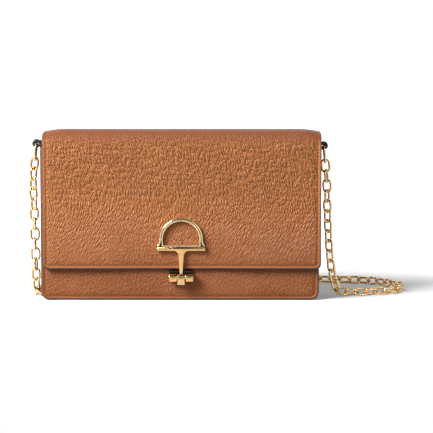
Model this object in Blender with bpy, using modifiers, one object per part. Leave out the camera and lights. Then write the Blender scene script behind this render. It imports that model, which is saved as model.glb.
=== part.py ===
"""A wallet on chain: a small leather flap bag with accordion gussets, a zip pocket in the
middle, card slots, a half-bit clasp that hooks over a keeper pin, and a cable-link chain
that runs from one strap loop down to the table, round in a loop, back behind the bag in
a hank, and up to the other strap loop.

X runs to the viewer's right, -Y faces the viewer, +Z is up, lengths are in metres, and
the bag stands on z = 0.
"""

import math

import bmesh
import bpy
import numpy as np
from mathutils import Matrix, Vector

# Body: overall sizes
BODY_WIDTH = 0.190
BODY_DEPTH = 0.032
BAG_HEIGHT = 0.1155
BODY_CORNER = 0.0057

# How far below the top of the bag each of these ends
HINGE_DROP = 0.010
FRONT_DROP = 0.010
GUSSET_DROP = 0.018
POCKET_DROP = 0.019
ZIP_DROP = 0.026
SLOT_DROP = 0.024

# Sheet thicknesses and the gap kept between pieces that touch
LEATHER = 0.0013
LINING = 0.0009
GUSSET = 0.0009
CLEARANCE = 0.0003

# Gussets: the flange that is sewn to a panel's edge, and the bellows fold
SEAM = 0.0042
SEAM_ROUND = 0.0006
GUSSET_FOLD = 0.0034
LINING_MARGIN = 0.0018
LINING_DROP = 0.002

# Zip pocket
POCKET_DEPTH = 0.011
ZIP_MARGIN = 0.017
ZIP_TAPE = 0.0006
ZIP_TAPE_FLANGE = 0.006
ZIP_TAPE_OVERRUN = 0.006
TEETH_WIDTH = 0.0030
TEETH_HEIGHT = 0.0016
TOOTH_PITCH = 0.0039
TOOTH_GAP = 0.0014
TOOTH_DEPTH = 0.0004
ZIP_STOP = 0.0020
SLIDER_LENGTH = 0.009
SLIDER_WIDTH = 0.0070
SLIDER_WALL = 0.0011
SLIDER_LUG = 0.0030
SLIDER_LUG_WALL = 0.0009
SLIDER_LUG_HEIGHT = 0.0028
SLIDER_INSET = 0.007
PULL_LENGTH = 0.0150
PULL_WIDTH = 0.0055
PULL_NECK = 0.0015
PULL_THICKNESS = 0.0010
PULL_PIN = 0.0005
PULL_EYE = 0.0008
PULL_KNUCKLE = 0.0014

# Card slots: two columns of stepped leaves on the back lining
CARD_WIDTH = 0.0856
SLOT_SIDE = 0.0005
SLOT_LEAF = 0.0007
SLOT_STEP = 0.012
SLOT_DEEP = 0.046
SLOTS_PER_COLUMN = 3

# Flap
FLAP_WIDTH = 0.190
FLAP_OFFSET = 0.00135
FLAP_BOTTOM = 0.0216
FLAP_CORNER = 0.0039
FLAP_FRONT_FOLD = 0.0090
FLAP_BACK_FOLD = 0.0075
FLAP_DROOP = 0.0014
FLAP_DROOP_REACH = 0.0095

# Half-bit clasp on the flap
CLASP_OFFSET = 0.0009
D_WIDTH = 0.0298
D_HEIGHT = 0.0200
D_BAND = 0.0026
D_DEPTH = 0.0026
D_CHAMFER = 0.0007
RAIL_WIDTH = 0.0327
RAIL_HEIGHT = 0.0012
RAIL_FLARE = 0.0030
BAR_TOP = 0.0369
BAR_HEIGHT = 0.0023
BAR_CHAMFER = 0.0005
STEM_NECK = 0.0042
STEM_FLARE = 0.0040
STEM_FOOT = 0.0019
STEM_BOW = 0.0012
POST_RADIUS = 0.0015
POST_SPACING = 0.022
SCREW_RADIUS = 0.0007
SCREW_HEAD = 0.0013
SCREW_HEAD_HEIGHT = 0.0004
CLASP_PLATE_WIDTH = 0.030
CLASP_PLATE_HEIGHT = 0.0062
BUTTON_RADIUS = 0.0009
BUTTON_HEIGHT = 0.0006
BUTTON_SHANK = 0.0004
BUTTON_RISE = 0.0018

# Keeper on the front panel
KEEPER_WIDTH = 0.0165
KEEPER_SPACE = 0.0054
KEEPER_HEIGHT = 0.0160
KEEPER_PLATE = 0.0016
KEEPER_PLATE_BELOW = 0.0026
KEEPER_PLATE_CHAMFER = 0.0004
BARREL_RADIUS = 0.00295
BARREL_CHAMFER = 0.0004
BARREL_SADDLE = 0.0007
PIN_RADIUS = 0.0012
PIN_GRIP = 0.0035
CLAW_WIDTH = 0.0048
CLAW_FRONT = 0.0036
CLAW_BACK = 0.0009
CLAW_TOP = 0.0027
CLAW_BOTTOM = 0.0036
CLAW_CHAMFER = 0.0004
TAB_WIDTH = 0.0053
TAB_TOP = 0.0031
TAB_BOTTOM = 0.0052
TAB_BACK = 0.0004
TAB_FRONT = 0.0030
RIVET_RADIUS = 0.0008
RIVET_HEAD = 0.0016
RIVET_HEAD_HEIGHT = 0.0006
RIVET_BITE = 0.0007
KEEPER_RIVET_SPACING = 0.0104
KEEPER_RIVET_RISE = 0.0040
KEEPER_BACKPLATE_WIDTH = 0.0150
KEEPER_BACKPLATE_HEIGHT = 0.0060

# Strap loops at the top of the pocket gusset
STRAP = 0.0012
STRAP_WIDTH = 0.0038
STRAP_REACH = 0.00645
STRAP_HOLE = 0.00175
STRAP_BEND = 0.0022
STRAP_RETURN = 0.0012
STRAP_RIVET_DEPTH = 0.0034
STRAP_TAIL_DEPTH = 0.0078
STRAP_RISE_LEFT = 0.0089
STRAP_RISE_RIGHT = 0.0074

# Chain: cable links of round wire, with one long link at each end
LINK_WIRE = 0.00165
LINK_WIDTH = 0.0070
LINK_PITCH = 0.00695
LINK_BITE = 0.0001
RUN_GAP = 0.00025
END_LINK_LENGTH = 0.0135
END_LINK_WIDTH = 0.0083
END_LINK_WIRE = 0.0017
CHAIN_LIE = 0.0028

# Small shares of the sizes that they follow
BOX_OVERRUN = 0.0010
GUSSET_SIDE_SHARES = (0.3, 0.65, 1.0)
BARREL_GROOVE_SHARES = (0.16, 0.30)
STEM_SHARES = (0.0, 0.05, 0.11, 0.18, 0.30, 0.55, 0.80, 1.0)
STEM_FLARE_SHARE = 0.18
STEM_CHAMFER_SHARE = 0.24
CLAW_CROWN_SHARES = ((1.0, 0.62), (0.80, 1.0))

# Points closer together than this are welded into one
WELD = 0.000005

# Rounding: how many straight steps stand for a curve
CORNER_STEPS = 4
FOLD_STEPS = 5
ROUND_SIDES = 16
SMALL_SIDES = 12
D_STEPS = 20
LOOP_STEPS = 7
LINK_END_POINTS = 6
LINK_WIRE_SIDES = 5
HIDDEN_LINK_END_POINTS = 4
HIDDEN_LINK_WIRE_SIDES = 3
ROUTE_STEPS = 24

# Route of the chain, points chosen by hand. It hangs from the left loop to the table,
# goes behind the bag into the hank, comes out on the right, and loops back in front.
# The heights of the two drops are shares of the height of the loop that each hangs from.
LEFT_DROP_SHARES = (
    (-0.1012, 0.0003, 0.763),
    (-0.1007, 0.0003, 0.572),
    (-0.1002, 0.0003, 0.381),
    (-0.0999, 0.0003, 0.210),
    (-0.0997, 0.0003, 0.100),
    (-0.0995, 0.0010, 0.040),
)
ROUTE_LEFT = (
    (-0.0995, 0.0065, CHAIN_LIE),
    (-0.0985, 0.0150, CHAIN_LIE),
    (-0.0950, 0.0225, CHAIN_LIE),
)
ROUTE_RIGHT = (
    (0.0900, 0.0686, CHAIN_LIE),
    (0.0978, 0.0676, CHAIN_LIE),
    (0.1065, 0.0653, CHAIN_LIE),
    (0.1166, 0.0641, CHAIN_LIE),
    (0.1266, 0.0629, CHAIN_LIE),
    (0.1364, 0.0589, CHAIN_LIE),
    (0.1438, 0.0532, CHAIN_LIE),
    (0.1496, 0.0465, CHAIN_LIE),
    (0.1533, 0.0388, CHAIN_LIE),
    (0.1545, 0.0307, CHAIN_LIE),
    (0.1528, 0.0227, CHAIN_LIE),
    (0.1486, 0.0156, CHAIN_LIE),
    (0.1419, 0.0107, CHAIN_LIE),
    (0.1347, 0.0079, CHAIN_LIE),
    (0.1277, 0.0059, CHAIN_LIE),
    (0.1201, 0.0047, CHAIN_LIE),
    (0.1131, 0.0043, CHAIN_LIE),
)
RIGHT_DROP_SHARES = (
    (0.1087, 0.0043, 0.039),
    (0.1069, 0.0040, 0.080),
    (0.1056, 0.0036, 0.127),
    (0.1044, 0.0032, 0.186),
    (0.1033, 0.0028, 0.273),
    (0.1024, 0.0023, 0.380),
    (0.1017, 0.0016, 0.506),
    (0.1012, 0.0010, 0.641),
    (0.1009, 0.0005, 0.756),
)

# Hank of the length that lies out of sight behind the bag
HANK_ROWS = 3
HANK_SPACING = 0.0200
HANK_FIRST_ROW = 0.0280
HANK_HALF_LENGTH = 0.0810
HANK_ROW_POINTS = 8
HANK_FOLD_POINTS = 3

# How far the links turn about the chain, in degrees, at counts of links from the left
LINK_ROLLS = (
    (0, 30),
    (2, 45),
    (4, 50),
    (7, 88),
    (9, 90),
    (13, 135),
    (126, 135),
    (131, 165),
)

# Runs of links that make one piece each, named from the left loop to the right one
RUN_NAMES = (
    ("chain_left_drop", 17, False),
    ("chain_hank_1", 17, True),
    ("chain_hank_2", 17, True),
    ("chain_hank_3", 16, True),
    ("chain_hank_4", 16, True),
    ("chain_hank_5", 16, True),
    ("chain_floor_loop", 18, False),
    ("chain_right_drop", 15, False),
)

# Places that follow from the sizes above
HINGE_HEIGHT = BAG_HEIGHT - HINGE_DROP
FRONT_HEIGHT = BAG_HEIGHT - FRONT_DROP
GUSSET_HEIGHT = BAG_HEIGHT - GUSSET_DROP
POCKET_HEIGHT = BAG_HEIGHT - POCKET_DROP
ZIP_HEIGHT = BAG_HEIGHT - ZIP_DROP
SLOT_TOP = BAG_HEIGHT - SLOT_DROP
ZIP_LENGTH = BODY_WIDTH - 2 * ZIP_MARGIN
SLIDER_START = SLIDER_INSET - ZIP_LENGTH / 2
BACK_Y = BODY_DEPTH / 2
FRONT_Y = -BODY_DEPTH / 2
FLAP_THICKNESS = LEATHER + CLEARANCE + LINING
FLAP_FRONT_Y = FRONT_Y - CLEARANCE - FLAP_THICKNESS
FLAP_BACK_BOTTOM = HINGE_HEIGHT + CLEARANCE
HINGE_Z = HINGE_HEIGHT + CLEARANCE / 2
LINER_Y = BACK_Y - LEATHER - CLEARANCE
POCKET_Y = POCKET_DEPTH / 2
CLASP_Y = FLAP_FRONT_Y - CLEARANCE
CLASP_FRONT_Y = CLASP_Y - D_DEPTH
KEEPER_BACK_Y = FRONT_Y - CLEARANCE
KEEPER_FRONT_Y = KEEPER_BACK_Y - KEEPER_PLATE
KEEPER_Y = KEEPER_FRONT_Y - BARREL_RADIUS + BARREL_SADDLE
KEEPER_PLATE_TOP = FLAP_BOTTOM - 2 * CLEARANCE
WEB_X = BODY_WIDTH / 2 - SEAM
STRAP_HOLE_X = BODY_WIDTH / 2 + STRAP_REACH - STRAP_HOLE - STRAP
FRAME_SHIFT_Y = -(BACK_Y + KEEPER_Y - CLAW_FRONT) / 2


# Scene, collections and materials


def clear_scene():
    for obj in list(bpy.data.objects):
        bpy.data.objects.remove(obj)


def new_collection(name):
    collection = bpy.data.collections.new(name)
    bpy.context.scene.collection.children.link(collection)
    return collection


def new_material(name, colour, roughness, metallic=0.0):
    material = bpy.data.materials.new(name)
    material.use_nodes = True
    shader = material.node_tree.nodes["Principled BSDF"]
    shader.inputs["Base Color"].default_value = (*colour, 1.0)
    shader.inputs["Roughness"].default_value = roughness
    shader.inputs["Metallic"].default_value = metallic
    return material


clear_scene()
PARTS = new_collection("wallet_on_chain")
CUTTERS = new_collection("cutters")
TAN_LEATHER = new_material("tan_leather", (0.455, 0.185, 0.075), 0.45)
LINING_LEATHER = new_material("lining_leather", (0.400, 0.175, 0.085), 0.55)
EDGE_LEATHER = new_material("painted_edge_leather", (0.030, 0.024, 0.026), 0.40)
GOLD = new_material("polished_gold_brass", (0.830, 0.610, 0.290), 0.16, 1.0)
BLACK_METAL = new_material("black_nickel", (0.030, 0.028, 0.027), 0.22, 1.0)
ZIP_TEXTILE = new_material("zip_tape", (0.210, 0.100, 0.055), 0.85)


def new_empty(name, place, parent=None):
    empty = bpy.data.objects.new(name, None)
    empty.location = place
    PARTS.objects.link(empty)
    hang(empty, parent)
    return empty


def hang(obj, parent):
    """Parents obj, which keeps its place beside the other pieces."""
    if parent is None:
        return
    obj.parent = parent
    if parent is not ORIGIN:
        obj.matrix_parent_inverse = Matrix.Translation(parent.location).inverted()


# All pieces are modelled about the middle of the body, and ORIGIN moves them so that the
# whole bag, with its clasp, is centred on the frame's origin.
ORIGIN = new_empty("bag_middle", (0.0, FRAME_SHIFT_Y, 0.0))
FLAP_HINGE = new_empty("flap_hinge", (0.0, BACK_Y, HINGE_Z), ORIGIN)


def link(obj, material, parent=None):
    """Puts a finished piece into the parts' collection."""
    for collection in list(obj.users_collection):
        collection.objects.unlink(obj)
    PARTS.objects.link(obj)
    obj.data.materials.clear()
    obj.data.materials.append(material)
    hang(obj, parent or ORIGIN)
    return obj


def helper(obj, parent=None):
    """Puts a cutter, or a shape that is joined to a piece, where it isn't rendered."""
    for collection in list(obj.users_collection):
        collection.objects.unlink(obj)
    CUTTERS.objects.link(obj)
    obj.hide_render = True
    obj.display_type = "WIRE"
    hang(obj, parent or ORIGIN)
    return obj


def combine(obj, other, operation):
    modifier = obj.modifiers.new(f"{operation.lower()}_{other.name}", "BOOLEAN")
    modifier.operation = operation
    modifier.solver = "EXACT"
    modifier.object = other


def cut(obj, *cutters):
    for cutter in cutters:
        combine(obj, cutter, "DIFFERENCE")


def join(obj, *others):
    for other in others:
        combine(obj, other, "UNION")


def chamfer(obj, width, angle=math.radians(40), segments=1):
    modifier = obj.modifiers.new("edges", "BEVEL")
    modifier.width = width
    modifier.segments = segments
    modifier.limit_method = "ANGLE"
    modifier.angle_limit = angle


# Basic shapes


def steps(start, end, count):
    return [start + (end - start) * i / count for i in range(count + 1)]


def arc(centre, radius, start, end, count):
    """Points on a round, from one angle to another, in degrees."""
    return [
        (
            centre[0] + radius * math.cos(math.radians(a)),
            centre[1] + radius * math.sin(math.radians(a)),
        )
        for a in steps(start, end, count)
    ]


def mesh_object(name, bm):
    bmesh.ops.recalc_face_normals(bm, faces=bm.faces)
    mesh = bpy.data.meshes.new(name)
    bm.to_mesh(mesh)
    bm.free()
    mesh.shade_smooth()
    mesh.set_sharp_from_angle(angle=math.radians(35))
    obj = bpy.data.objects.new(name, mesh)
    bpy.context.scene.collection.objects.link(obj)
    return obj


def box(name, low, high):
    bm = bmesh.new()
    bmesh.ops.create_cube(bm, size=1)
    size = Vector(high) - Vector(low)
    middle = (Vector(high) + Vector(low)) / 2
    bmesh.ops.transform(
        bm, matrix=Matrix.Translation(middle) @ Matrix.Diagonal((*size, 1)), verts=bm.verts
    )
    return mesh_object(name, bm)


def rod(name, start, end, radius, sides=ROUND_SIDES):
    """A cylinder from one point to another."""
    start, end = Vector(start), Vector(end)
    turn = (end - start).to_track_quat("Z", "Y").to_matrix().to_4x4()
    bm = bmesh.new()
    bmesh.ops.create_cone(
        bm,
        cap_ends=True,
        segments=sides,
        radius1=radius,
        radius2=radius,
        depth=(end - start).length,
        matrix=Matrix.Translation((start + end) / 2) @ turn,
    )
    return mesh_object(name, bm)


def turned(name, profile, place, direction, sides=ROUND_SIDES):
    """A turned piece: profile is (radius, height), top to bottom, along direction."""
    bm = bmesh.new()
    points = [bm.verts.new((radius, 0.0, height)) for radius, height in profile]
    for one, other in zip(points, points[1:]):
        bm.edges.new((one, other))
    obj = mesh_object(name, bm)
    obj.location = place
    obj.rotation_euler = Vector(direction).to_track_quat("Z", "Y").to_euler()
    screw = obj.modifiers.new("turn", "SCREW")
    screw.axis = "Z"
    screw.steps = sides
    screw.render_steps = sides
    screw.use_merge_vertices = True
    screw.merge_threshold = WELD
    screw.use_smooth_shade = True
    return obj


def flat_curve(name, outlines, thickness):
    curve = bpy.data.curves.new(name, "CURVE")
    curve.dimensions = "2D"
    curve.fill_mode = "BOTH"
    curve.extrude = thickness / 2
    for outline in outlines:
        spline = curve.splines.new("POLY")
        spline.points.add(len(outline) - 1)
        for point, (x, y) in zip(spline.points, outline):
            point.co = (x, y, 0.0, 1.0)
        spline.use_cyclic_u = True
    obj = bpy.data.objects.new(name, curve)
    bpy.context.scene.collection.objects.link(obj)
    return obj


def as_mesh(obj):
    """The same shape as a mesh with welded caps, which a Boolean can take."""
    graph = bpy.context.evaluated_depsgraph_get()
    mesh = bpy.data.meshes.new_from_object(obj.evaluated_get(graph))
    bm = bmesh.new()
    bm.from_mesh(mesh)
    bmesh.ops.remove_doubles(bm, verts=bm.verts, dist=WELD)
    bmesh.ops.recalc_face_normals(bm, faces=bm.faces)
    bm.to_mesh(mesh)
    bm.free()
    name, place = obj.name, obj.matrix_world.copy()
    bpy.data.objects.remove(obj)
    mesh.name = name
    solid = bpy.data.objects.new(name, mesh)
    solid.matrix_world = place
    bpy.context.scene.collection.objects.link(solid)
    return solid


def plate(name, outlines, y_one, y_other):
    """Outlines of (x, z) points, made as thick as the two places along Y are apart."""
    obj = flat_curve(name, outlines, abs(y_other - y_one))
    obj.location = (0.0, (y_one + y_other) / 2, 0.0)
    obj.rotation_euler = (math.pi / 2, 0.0, 0.0)
    bpy.context.view_layer.update()
    return as_mesh(obj)


def extrusion(name, outline, x_one, x_other):
    """An outline of (y, z) points, drawn out along X."""
    obj = flat_curve(name, [outline], abs(x_other - x_one))
    obj.location = ((x_one + x_other) / 2, 0.0, 0.0)
    obj.rotation_euler = (math.pi / 2, 0.0, math.pi / 2)
    bpy.context.view_layer.update()
    return as_mesh(obj)


def loft(name, rings):
    """A closed body through rings of as many points each, with flat ends."""
    bm = bmesh.new()
    rows = [[bm.verts.new(point) for point in ring] for ring in rings]
    for low, high in zip(rows, rows[1:]):
        for i, corner in enumerate(low):
            j = (i + 1) % len(low)
            bm.faces.new((corner, low[j], high[j], high[i]))
    bm.faces.new(rows[0])
    bm.faces.new(rows[-1])
    return mesh_object(name, bm)


def ribbon(points, thickness):
    """The outline of a strip of even thickness whose middle line is given."""
    line = [Vector(point) for point in points]
    one_side, other_side = [], []
    for i, here in enumerate(line):
        before = (here - line[i - 1]).normalized() if i else None
        after = (line[i + 1] - here).normalized() if i < len(line) - 1 else before
        before = before or after
        along = (before + after).normalized()
        across = Vector((-along.y, along.x))
        reach = thickness / 2 / across.dot(Vector((-before.y, before.x)))
        one_side.append(tuple(here + across * reach))
        other_side.append(tuple(here - across * reach))
    return one_side + other_side[::-1]


def rectangle(low, high):
    return [low, (high[0], low[1]), high, (low[0], high[1])]


# Panels, linings and gussets


def rim(inset, height):
    """The U of (x, z) points that runs inset inside the body's sides and bottom, from the
    top left round to the top right."""
    radius = max(BODY_CORNER - inset, SEAM_ROUND)
    corner = (BODY_WIDTH / 2 - inset - radius, inset + radius)
    half = arc(corner, radius, -90, 0, CORNER_STEPS) + [
        (BODY_WIDTH / 2 - inset, corner[1] + (height - corner[1]) * share)
        for share in GUSSET_SIDE_SHARES
    ]
    return [(-x, z) for x, z in reversed(half)] + half


def panel_outline(inset, height):
    outline = rim(inset, height)
    side = len(GUSSET_SIDE_SHARES)
    return outline[:1] + outline[side:-side] + outline[-1:]


def make_gusset(name, y_one, y_other, height, fold):
    """A strip sewn to two neighbours by flanges that reach the body's edge, with a web
    between them. The web is flat under the bag and folds inwards up the sides."""
    one, other = y_one + GUSSET / 2, y_other - GUSSET / 2
    flat_fold = [((one + other) / 2, SEAM)] if fold else []
    deep_fold = [((one + other) / 2, SEAM + fold)] if fold else []
    start = [(one, 0.0), (one, SEAM)]
    end = [(other, SEAM), (other, 0.0)]
    flat = ribbon(start + flat_fold + end, GUSSET)
    folded = ribbon(start + deep_fold + end, GUSSET)
    count = len(rim(0.0, height))
    side = len(GUSSET_SIDE_SHARES)
    rings = []
    for i in range(count):
        up = max(side - i, i - (count - 1 - side), 0)
        share = GUSSET_SIDE_SHARES[up - 1] if up else 0.0
        ring = []
        for (y, inset), (y_folded, inset_folded) in zip(flat, folded):
            y += (y_folded - y) * share
            inset += (inset_folded - inset) * share
            x, z = rim(max(inset, 0.0), height)[i]
            ring.append((x, y, z))
        rings.append(ring)
    return link(loft(name, rings), TAN_LEATHER)


def make_body():
    lining_inset = SEAM + LINING_MARGIN
    window_low = (
        CLASP_OFFSET - KEEPER_BACKPLATE_WIDTH / 2 - CLEARANCE,
        keeper_rivet_z() - KEEPER_BACKPLATE_HEIGHT / 2 - CLEARANCE,
    )
    window_high = (
        CLASP_OFFSET + KEEPER_BACKPLATE_WIDTH / 2 + CLEARANCE,
        keeper_rivet_z() + KEEPER_BACKPLATE_HEIGHT / 2 + CLEARANCE,
    )
    front = plate(
        "front_panel", [panel_outline(0.0, FRONT_HEIGHT)], FRONT_Y, FRONT_Y + LEATHER
    )
    cut(link(front, TAN_LEATHER), *KEEPER_BORES)
    front_lining = plate(
        "front_lining",
        [
            panel_outline(lining_inset, FRONT_HEIGHT - LINING_DROP),
            rectangle(window_low, window_high),
        ],
        -LINER_Y,
        -LINER_Y + LINING,
    )
    link(front_lining, LINING_LEATHER)
    back = plate(
        "back_panel", [panel_outline(0.0, HINGE_HEIGHT)], BACK_Y, BACK_Y - LEATHER
    )
    link(back, TAN_LEATHER)
    back_lining = plate(
        "back_lining",
        [panel_outline(lining_inset, HINGE_HEIGHT - LINING_DROP)],
        LINER_Y,
        LINER_Y - LINING,
    )
    link(back_lining, LINING_LEATHER)
    make_gusset(
        "front_gusset", -LINER_Y, -POCKET_Y - CLEARANCE, GUSSET_HEIGHT, GUSSET_FOLD
    )
    make_gusset(
        "rear_gusset", POCKET_Y + CLEARANCE, LINER_Y, GUSSET_HEIGHT, GUSSET_FOLD
    )
    inner = POCKET_Y - LINING - CLEARANCE
    pocket = make_gusset("pocket_gusset", -inner, inner, GUSSET_HEIGHT, 0.0)
    cut(pocket, *STRAP_BORES.values())


# Zip pocket


def make_zip_pocket():
    outline = panel_outline(0.0, POCKET_HEIGHT)
    for name, side in (("zip_pocket_front", -1), ("zip_pocket_back", 1)):
        wall = plate(name, [outline], side * POCKET_Y, side * (POCKET_Y - LINING))
        link(wall, LINING_LEATHER)
    half = ZIP_LENGTH / 2 + ZIP_TAPE_OVERRUN
    outer = POCKET_Y - LINING - CLEARANCE - ZIP_TAPE / 2
    inner = TEETH_WIDTH / 2 + CLEARANCE
    for name, side in (("zip_tape_front", -1), ("zip_tape_back", 1)):
        line = [
            (side * inner, ZIP_HEIGHT),
            (side * outer, ZIP_HEIGHT),
            (side * outer, ZIP_HEIGHT - ZIP_TAPE_FLANGE),
        ]
        tape = extrusion(name, ribbon(line, ZIP_TAPE), -half, half)
        link(tape, ZIP_TEXTILE)
    make_teeth()
    stop_at = ZIP_LENGTH / 2 + CLEARANCE
    for name, side in (("zip_stop_left", -1), ("zip_stop_right", 1)):
        ends = sorted((side * stop_at, side * (stop_at + ZIP_STOP)))
        stop = box(
            name,
            (ends[0], -TEETH_WIDTH / 2, ZIP_HEIGHT - TEETH_HEIGHT / 2),
            (ends[1], TEETH_WIDTH / 2, ZIP_HEIGHT + TEETH_HEIGHT / 2),
        )
        chamfer(stop, TOOTH_DEPTH / 2)
        link(stop, GOLD)


def make_teeth():
    """The closed row of teeth, as a comb along its top: a crown on each tooth."""
    base, crown = ZIP_HEIGHT + TEETH_HEIGHT / 2 - TOOTH_DEPTH, TOOTH_DEPTH
    count = int(ZIP_LENGTH / TOOTH_PITCH)
    outline = [(-ZIP_LENGTH / 2, ZIP_HEIGHT - TEETH_HEIGHT / 2)]
    outline.append((-ZIP_LENGTH / 2, base))
    for i in range(count):
        start = -ZIP_LENGTH / 2 + TOOTH_GAP / 2 + TOOTH_PITCH * i
        end = start + TOOTH_PITCH - TOOTH_GAP
        outline += [(start, base), (start, base + crown), (end, base + crown), (end, base)]
    outline.append((ZIP_LENGTH / 2, base))
    outline.append((ZIP_LENGTH / 2, ZIP_HEIGHT - TEETH_HEIGHT / 2))
    teeth = plate("zip_teeth", [outline[::-1]], -TEETH_WIDTH / 2, TEETH_WIDTH / 2)
    link(teeth, GOLD)


def make_slider():
    """The slider rides over the teeth on the tapes, and carries the pull's pin between
    two lugs."""
    axis = new_empty("zip_slide", (SLIDER_START, 0.0, ZIP_HEIGHT), ORIGIN)
    under = ZIP_HEIGHT + TEETH_HEIGHT / 2 + CLEARANCE
    roof = under + SLIDER_WALL
    foot = ZIP_HEIGHT + ZIP_TAPE / 2 + CLEARANCE
    half = SLIDER_WIDTH / 2
    inner = half - SLIDER_WALL
    section = [
        (-half, foot),
        (-inner, foot),
        (-inner, under),
        (inner, under),
        (inner, foot),
        (half, foot),
        (half, roof),
        (-half, roof),
    ]
    ends = (SLIDER_START - SLIDER_LENGTH / 2, SLIDER_START + SLIDER_LENGTH / 2)
    slider = extrusion("zip_slider", section, *ends)
    link(slider, GOLD, axis)
    lug_gap = PULL_NECK / 2 + CLEARANCE
    pin_z = pull_pin_z()
    for side, name in ((-1, "lug_front"), (1, "lug_back")):
        lug = plate(
            name,
            [
                [
                    (SLIDER_START - SLIDER_LUG / 2, roof - SLIDER_WALL / 2),
                    (SLIDER_START + SLIDER_LUG / 2, roof - SLIDER_WALL / 2),
                ]
                + arc((SLIDER_START, pin_z), SLIDER_LUG / 2, 0, 180, LOOP_STEPS)
            ],
            side * lug_gap,
            side * (lug_gap + SLIDER_LUG_WALL),
        )
        join(slider, helper(lug, axis))
    reach = lug_gap + SLIDER_LUG_WALL / 2
    pin = rod(
        "slider_pin",
        (SLIDER_START, -reach, pin_z),
        (SLIDER_START, reach, pin_z),
        PULL_PIN,
        SMALL_SIDES,
    )
    join(slider, helper(pin, axis))
    make_pull(axis, pin_z)


def pull_pin_z():
    roof = ZIP_HEIGHT + TEETH_HEIGHT / 2 + CLEARANCE + SLIDER_WALL
    return roof + PULL_KNUCKLE + CLEARANCE


def make_pull(slide, pin_z):
    """The pull: a tab on a narrow neck that turns on the slider's pin."""
    axis = new_empty("zip_pull_axis", (SLIDER_START, 0.0, pin_z), slide)
    neck_end = SLIDER_START + SLIDER_LUG
    tip = SLIDER_START + PULL_LENGTH
    round_x = tip - PULL_WIDTH / 2
    outline = [
        (SLIDER_START + PULL_EYE + CLEARANCE, -PULL_NECK / 2),
        (neck_end, -PULL_NECK / 2),
        (neck_end + PULL_NECK, -PULL_WIDTH / 2),
    ]
    outline += arc((round_x, 0.0), PULL_WIDTH / 2, -90, 90, LOOP_STEPS)
    outline += [
        (neck_end + PULL_NECK, PULL_WIDTH / 2),
        (neck_end, PULL_NECK / 2),
        (SLIDER_START + PULL_EYE + CLEARANCE, PULL_NECK / 2),
    ]
    pull = flat_curve("zip_pull", [outline], PULL_THICKNESS)
    pull.location = (0.0, 0.0, pin_z)
    bpy.context.view_layer.update()
    pull = as_mesh(pull)
    link(pull, GOLD, axis)
    ends = (
        (SLIDER_START, -PULL_NECK / 2, pin_z),
        (SLIDER_START, PULL_NECK / 2, pin_z),
    )
    join(pull, helper(rod("pull_knuckle", *ends, PULL_KNUCKLE, SMALL_SIDES), axis))
    through = (
        (SLIDER_START, -PULL_WIDTH / 2, pin_z),
        (SLIDER_START, PULL_WIDTH / 2, pin_z),
    )
    cut(pull, helper(rod("pull_eye", *through, PULL_EYE, SMALL_SIDES), axis))


# Card slots


def make_card_slots():
    """Stepped leaves behind the zip pocket, the lowest one in front."""
    width = CARD_WIDTH + 2 * SLOT_SIDE
    number = 0
    for side in (-1, 1):
        near = SLOT_SIDE / 2
        ends = sorted((side * near, side * (near + width)))
        for step in range(SLOTS_PER_COLUMN):
            number += 1
            top = SLOT_TOP - SLOT_STEP * step
            back = LINER_Y - LINING - CLEARANCE - (SLOT_LEAF + CLEARANCE) * step
            leaf = plate(
                f"card_slot_{number}",
                [rectangle((ends[0], top - SLOT_DEEP), (ends[1], top))],
                back,
                back - SLOT_LEAF,
            )
            link(leaf, LINING_LEATHER)


# Flap


def flap_stations():
    """(x, droop, bottom) at places along the flap: its lower corners are round, and its
    top droops towards the ends."""
    half = FLAP_WIDTH / 2
    insets = [
        (FLAP_CORNER - FLAP_CORNER * math.sin(a), FLAP_CORNER - FLAP_CORNER * math.cos(a))
        for a in steps(0, math.pi / 2, CORNER_STEPS - 1)
    ]
    insets += [((FLAP_CORNER + FLAP_DROOP_REACH) / 2, 0.0), (FLAP_DROOP_REACH, 0.0)]
    right = []
    for inset, rise in insets:
        near_end = max(FLAP_DROOP_REACH - inset, 0.0) / FLAP_DROOP_REACH
        right.append((half - inset, FLAP_DROOP * near_end**2, FLAP_BOTTOM + rise))
    right.sort()
    middle = [(0.0, 0.0, FLAP_BOTTOM)]
    left = [(-x, droop, bottom) for x, droop, bottom in reversed(right)]
    return left + middle + right


def flap_line(inset, droop, bottom):
    """(y, z) points from the hinge, over the top and down the front, inset within the
    flap's outer face."""
    top = BAG_HEIGHT - droop
    back_fold = (BACK_Y - FLAP_BACK_FOLD, top - FLAP_BACK_FOLD)
    front_fold = (FLAP_FRONT_Y + FLAP_FRONT_FOLD, top - FLAP_FRONT_FOLD)
    return (
        [(BACK_Y - inset, FLAP_BACK_BOTTOM)]
        + arc(back_fold, FLAP_BACK_FOLD - inset, 0, 90, FOLD_STEPS)
        + arc(front_fold, FLAP_FRONT_FOLD - inset, 90, 180, FOLD_STEPS)
        + [(FLAP_FRONT_Y + inset, bottom)]
    )


def make_flap_sheet(name, outer, inner, material):
    rings = []
    for x, droop, bottom in flap_stations():
        section = flap_line(outer, droop, bottom) + flap_line(inner, droop, bottom)[::-1]
        rings.append([(x + FLAP_OFFSET, y, z) for y, z in section])
    return link(loft(name, rings), material, FLAP_HINGE)


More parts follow.
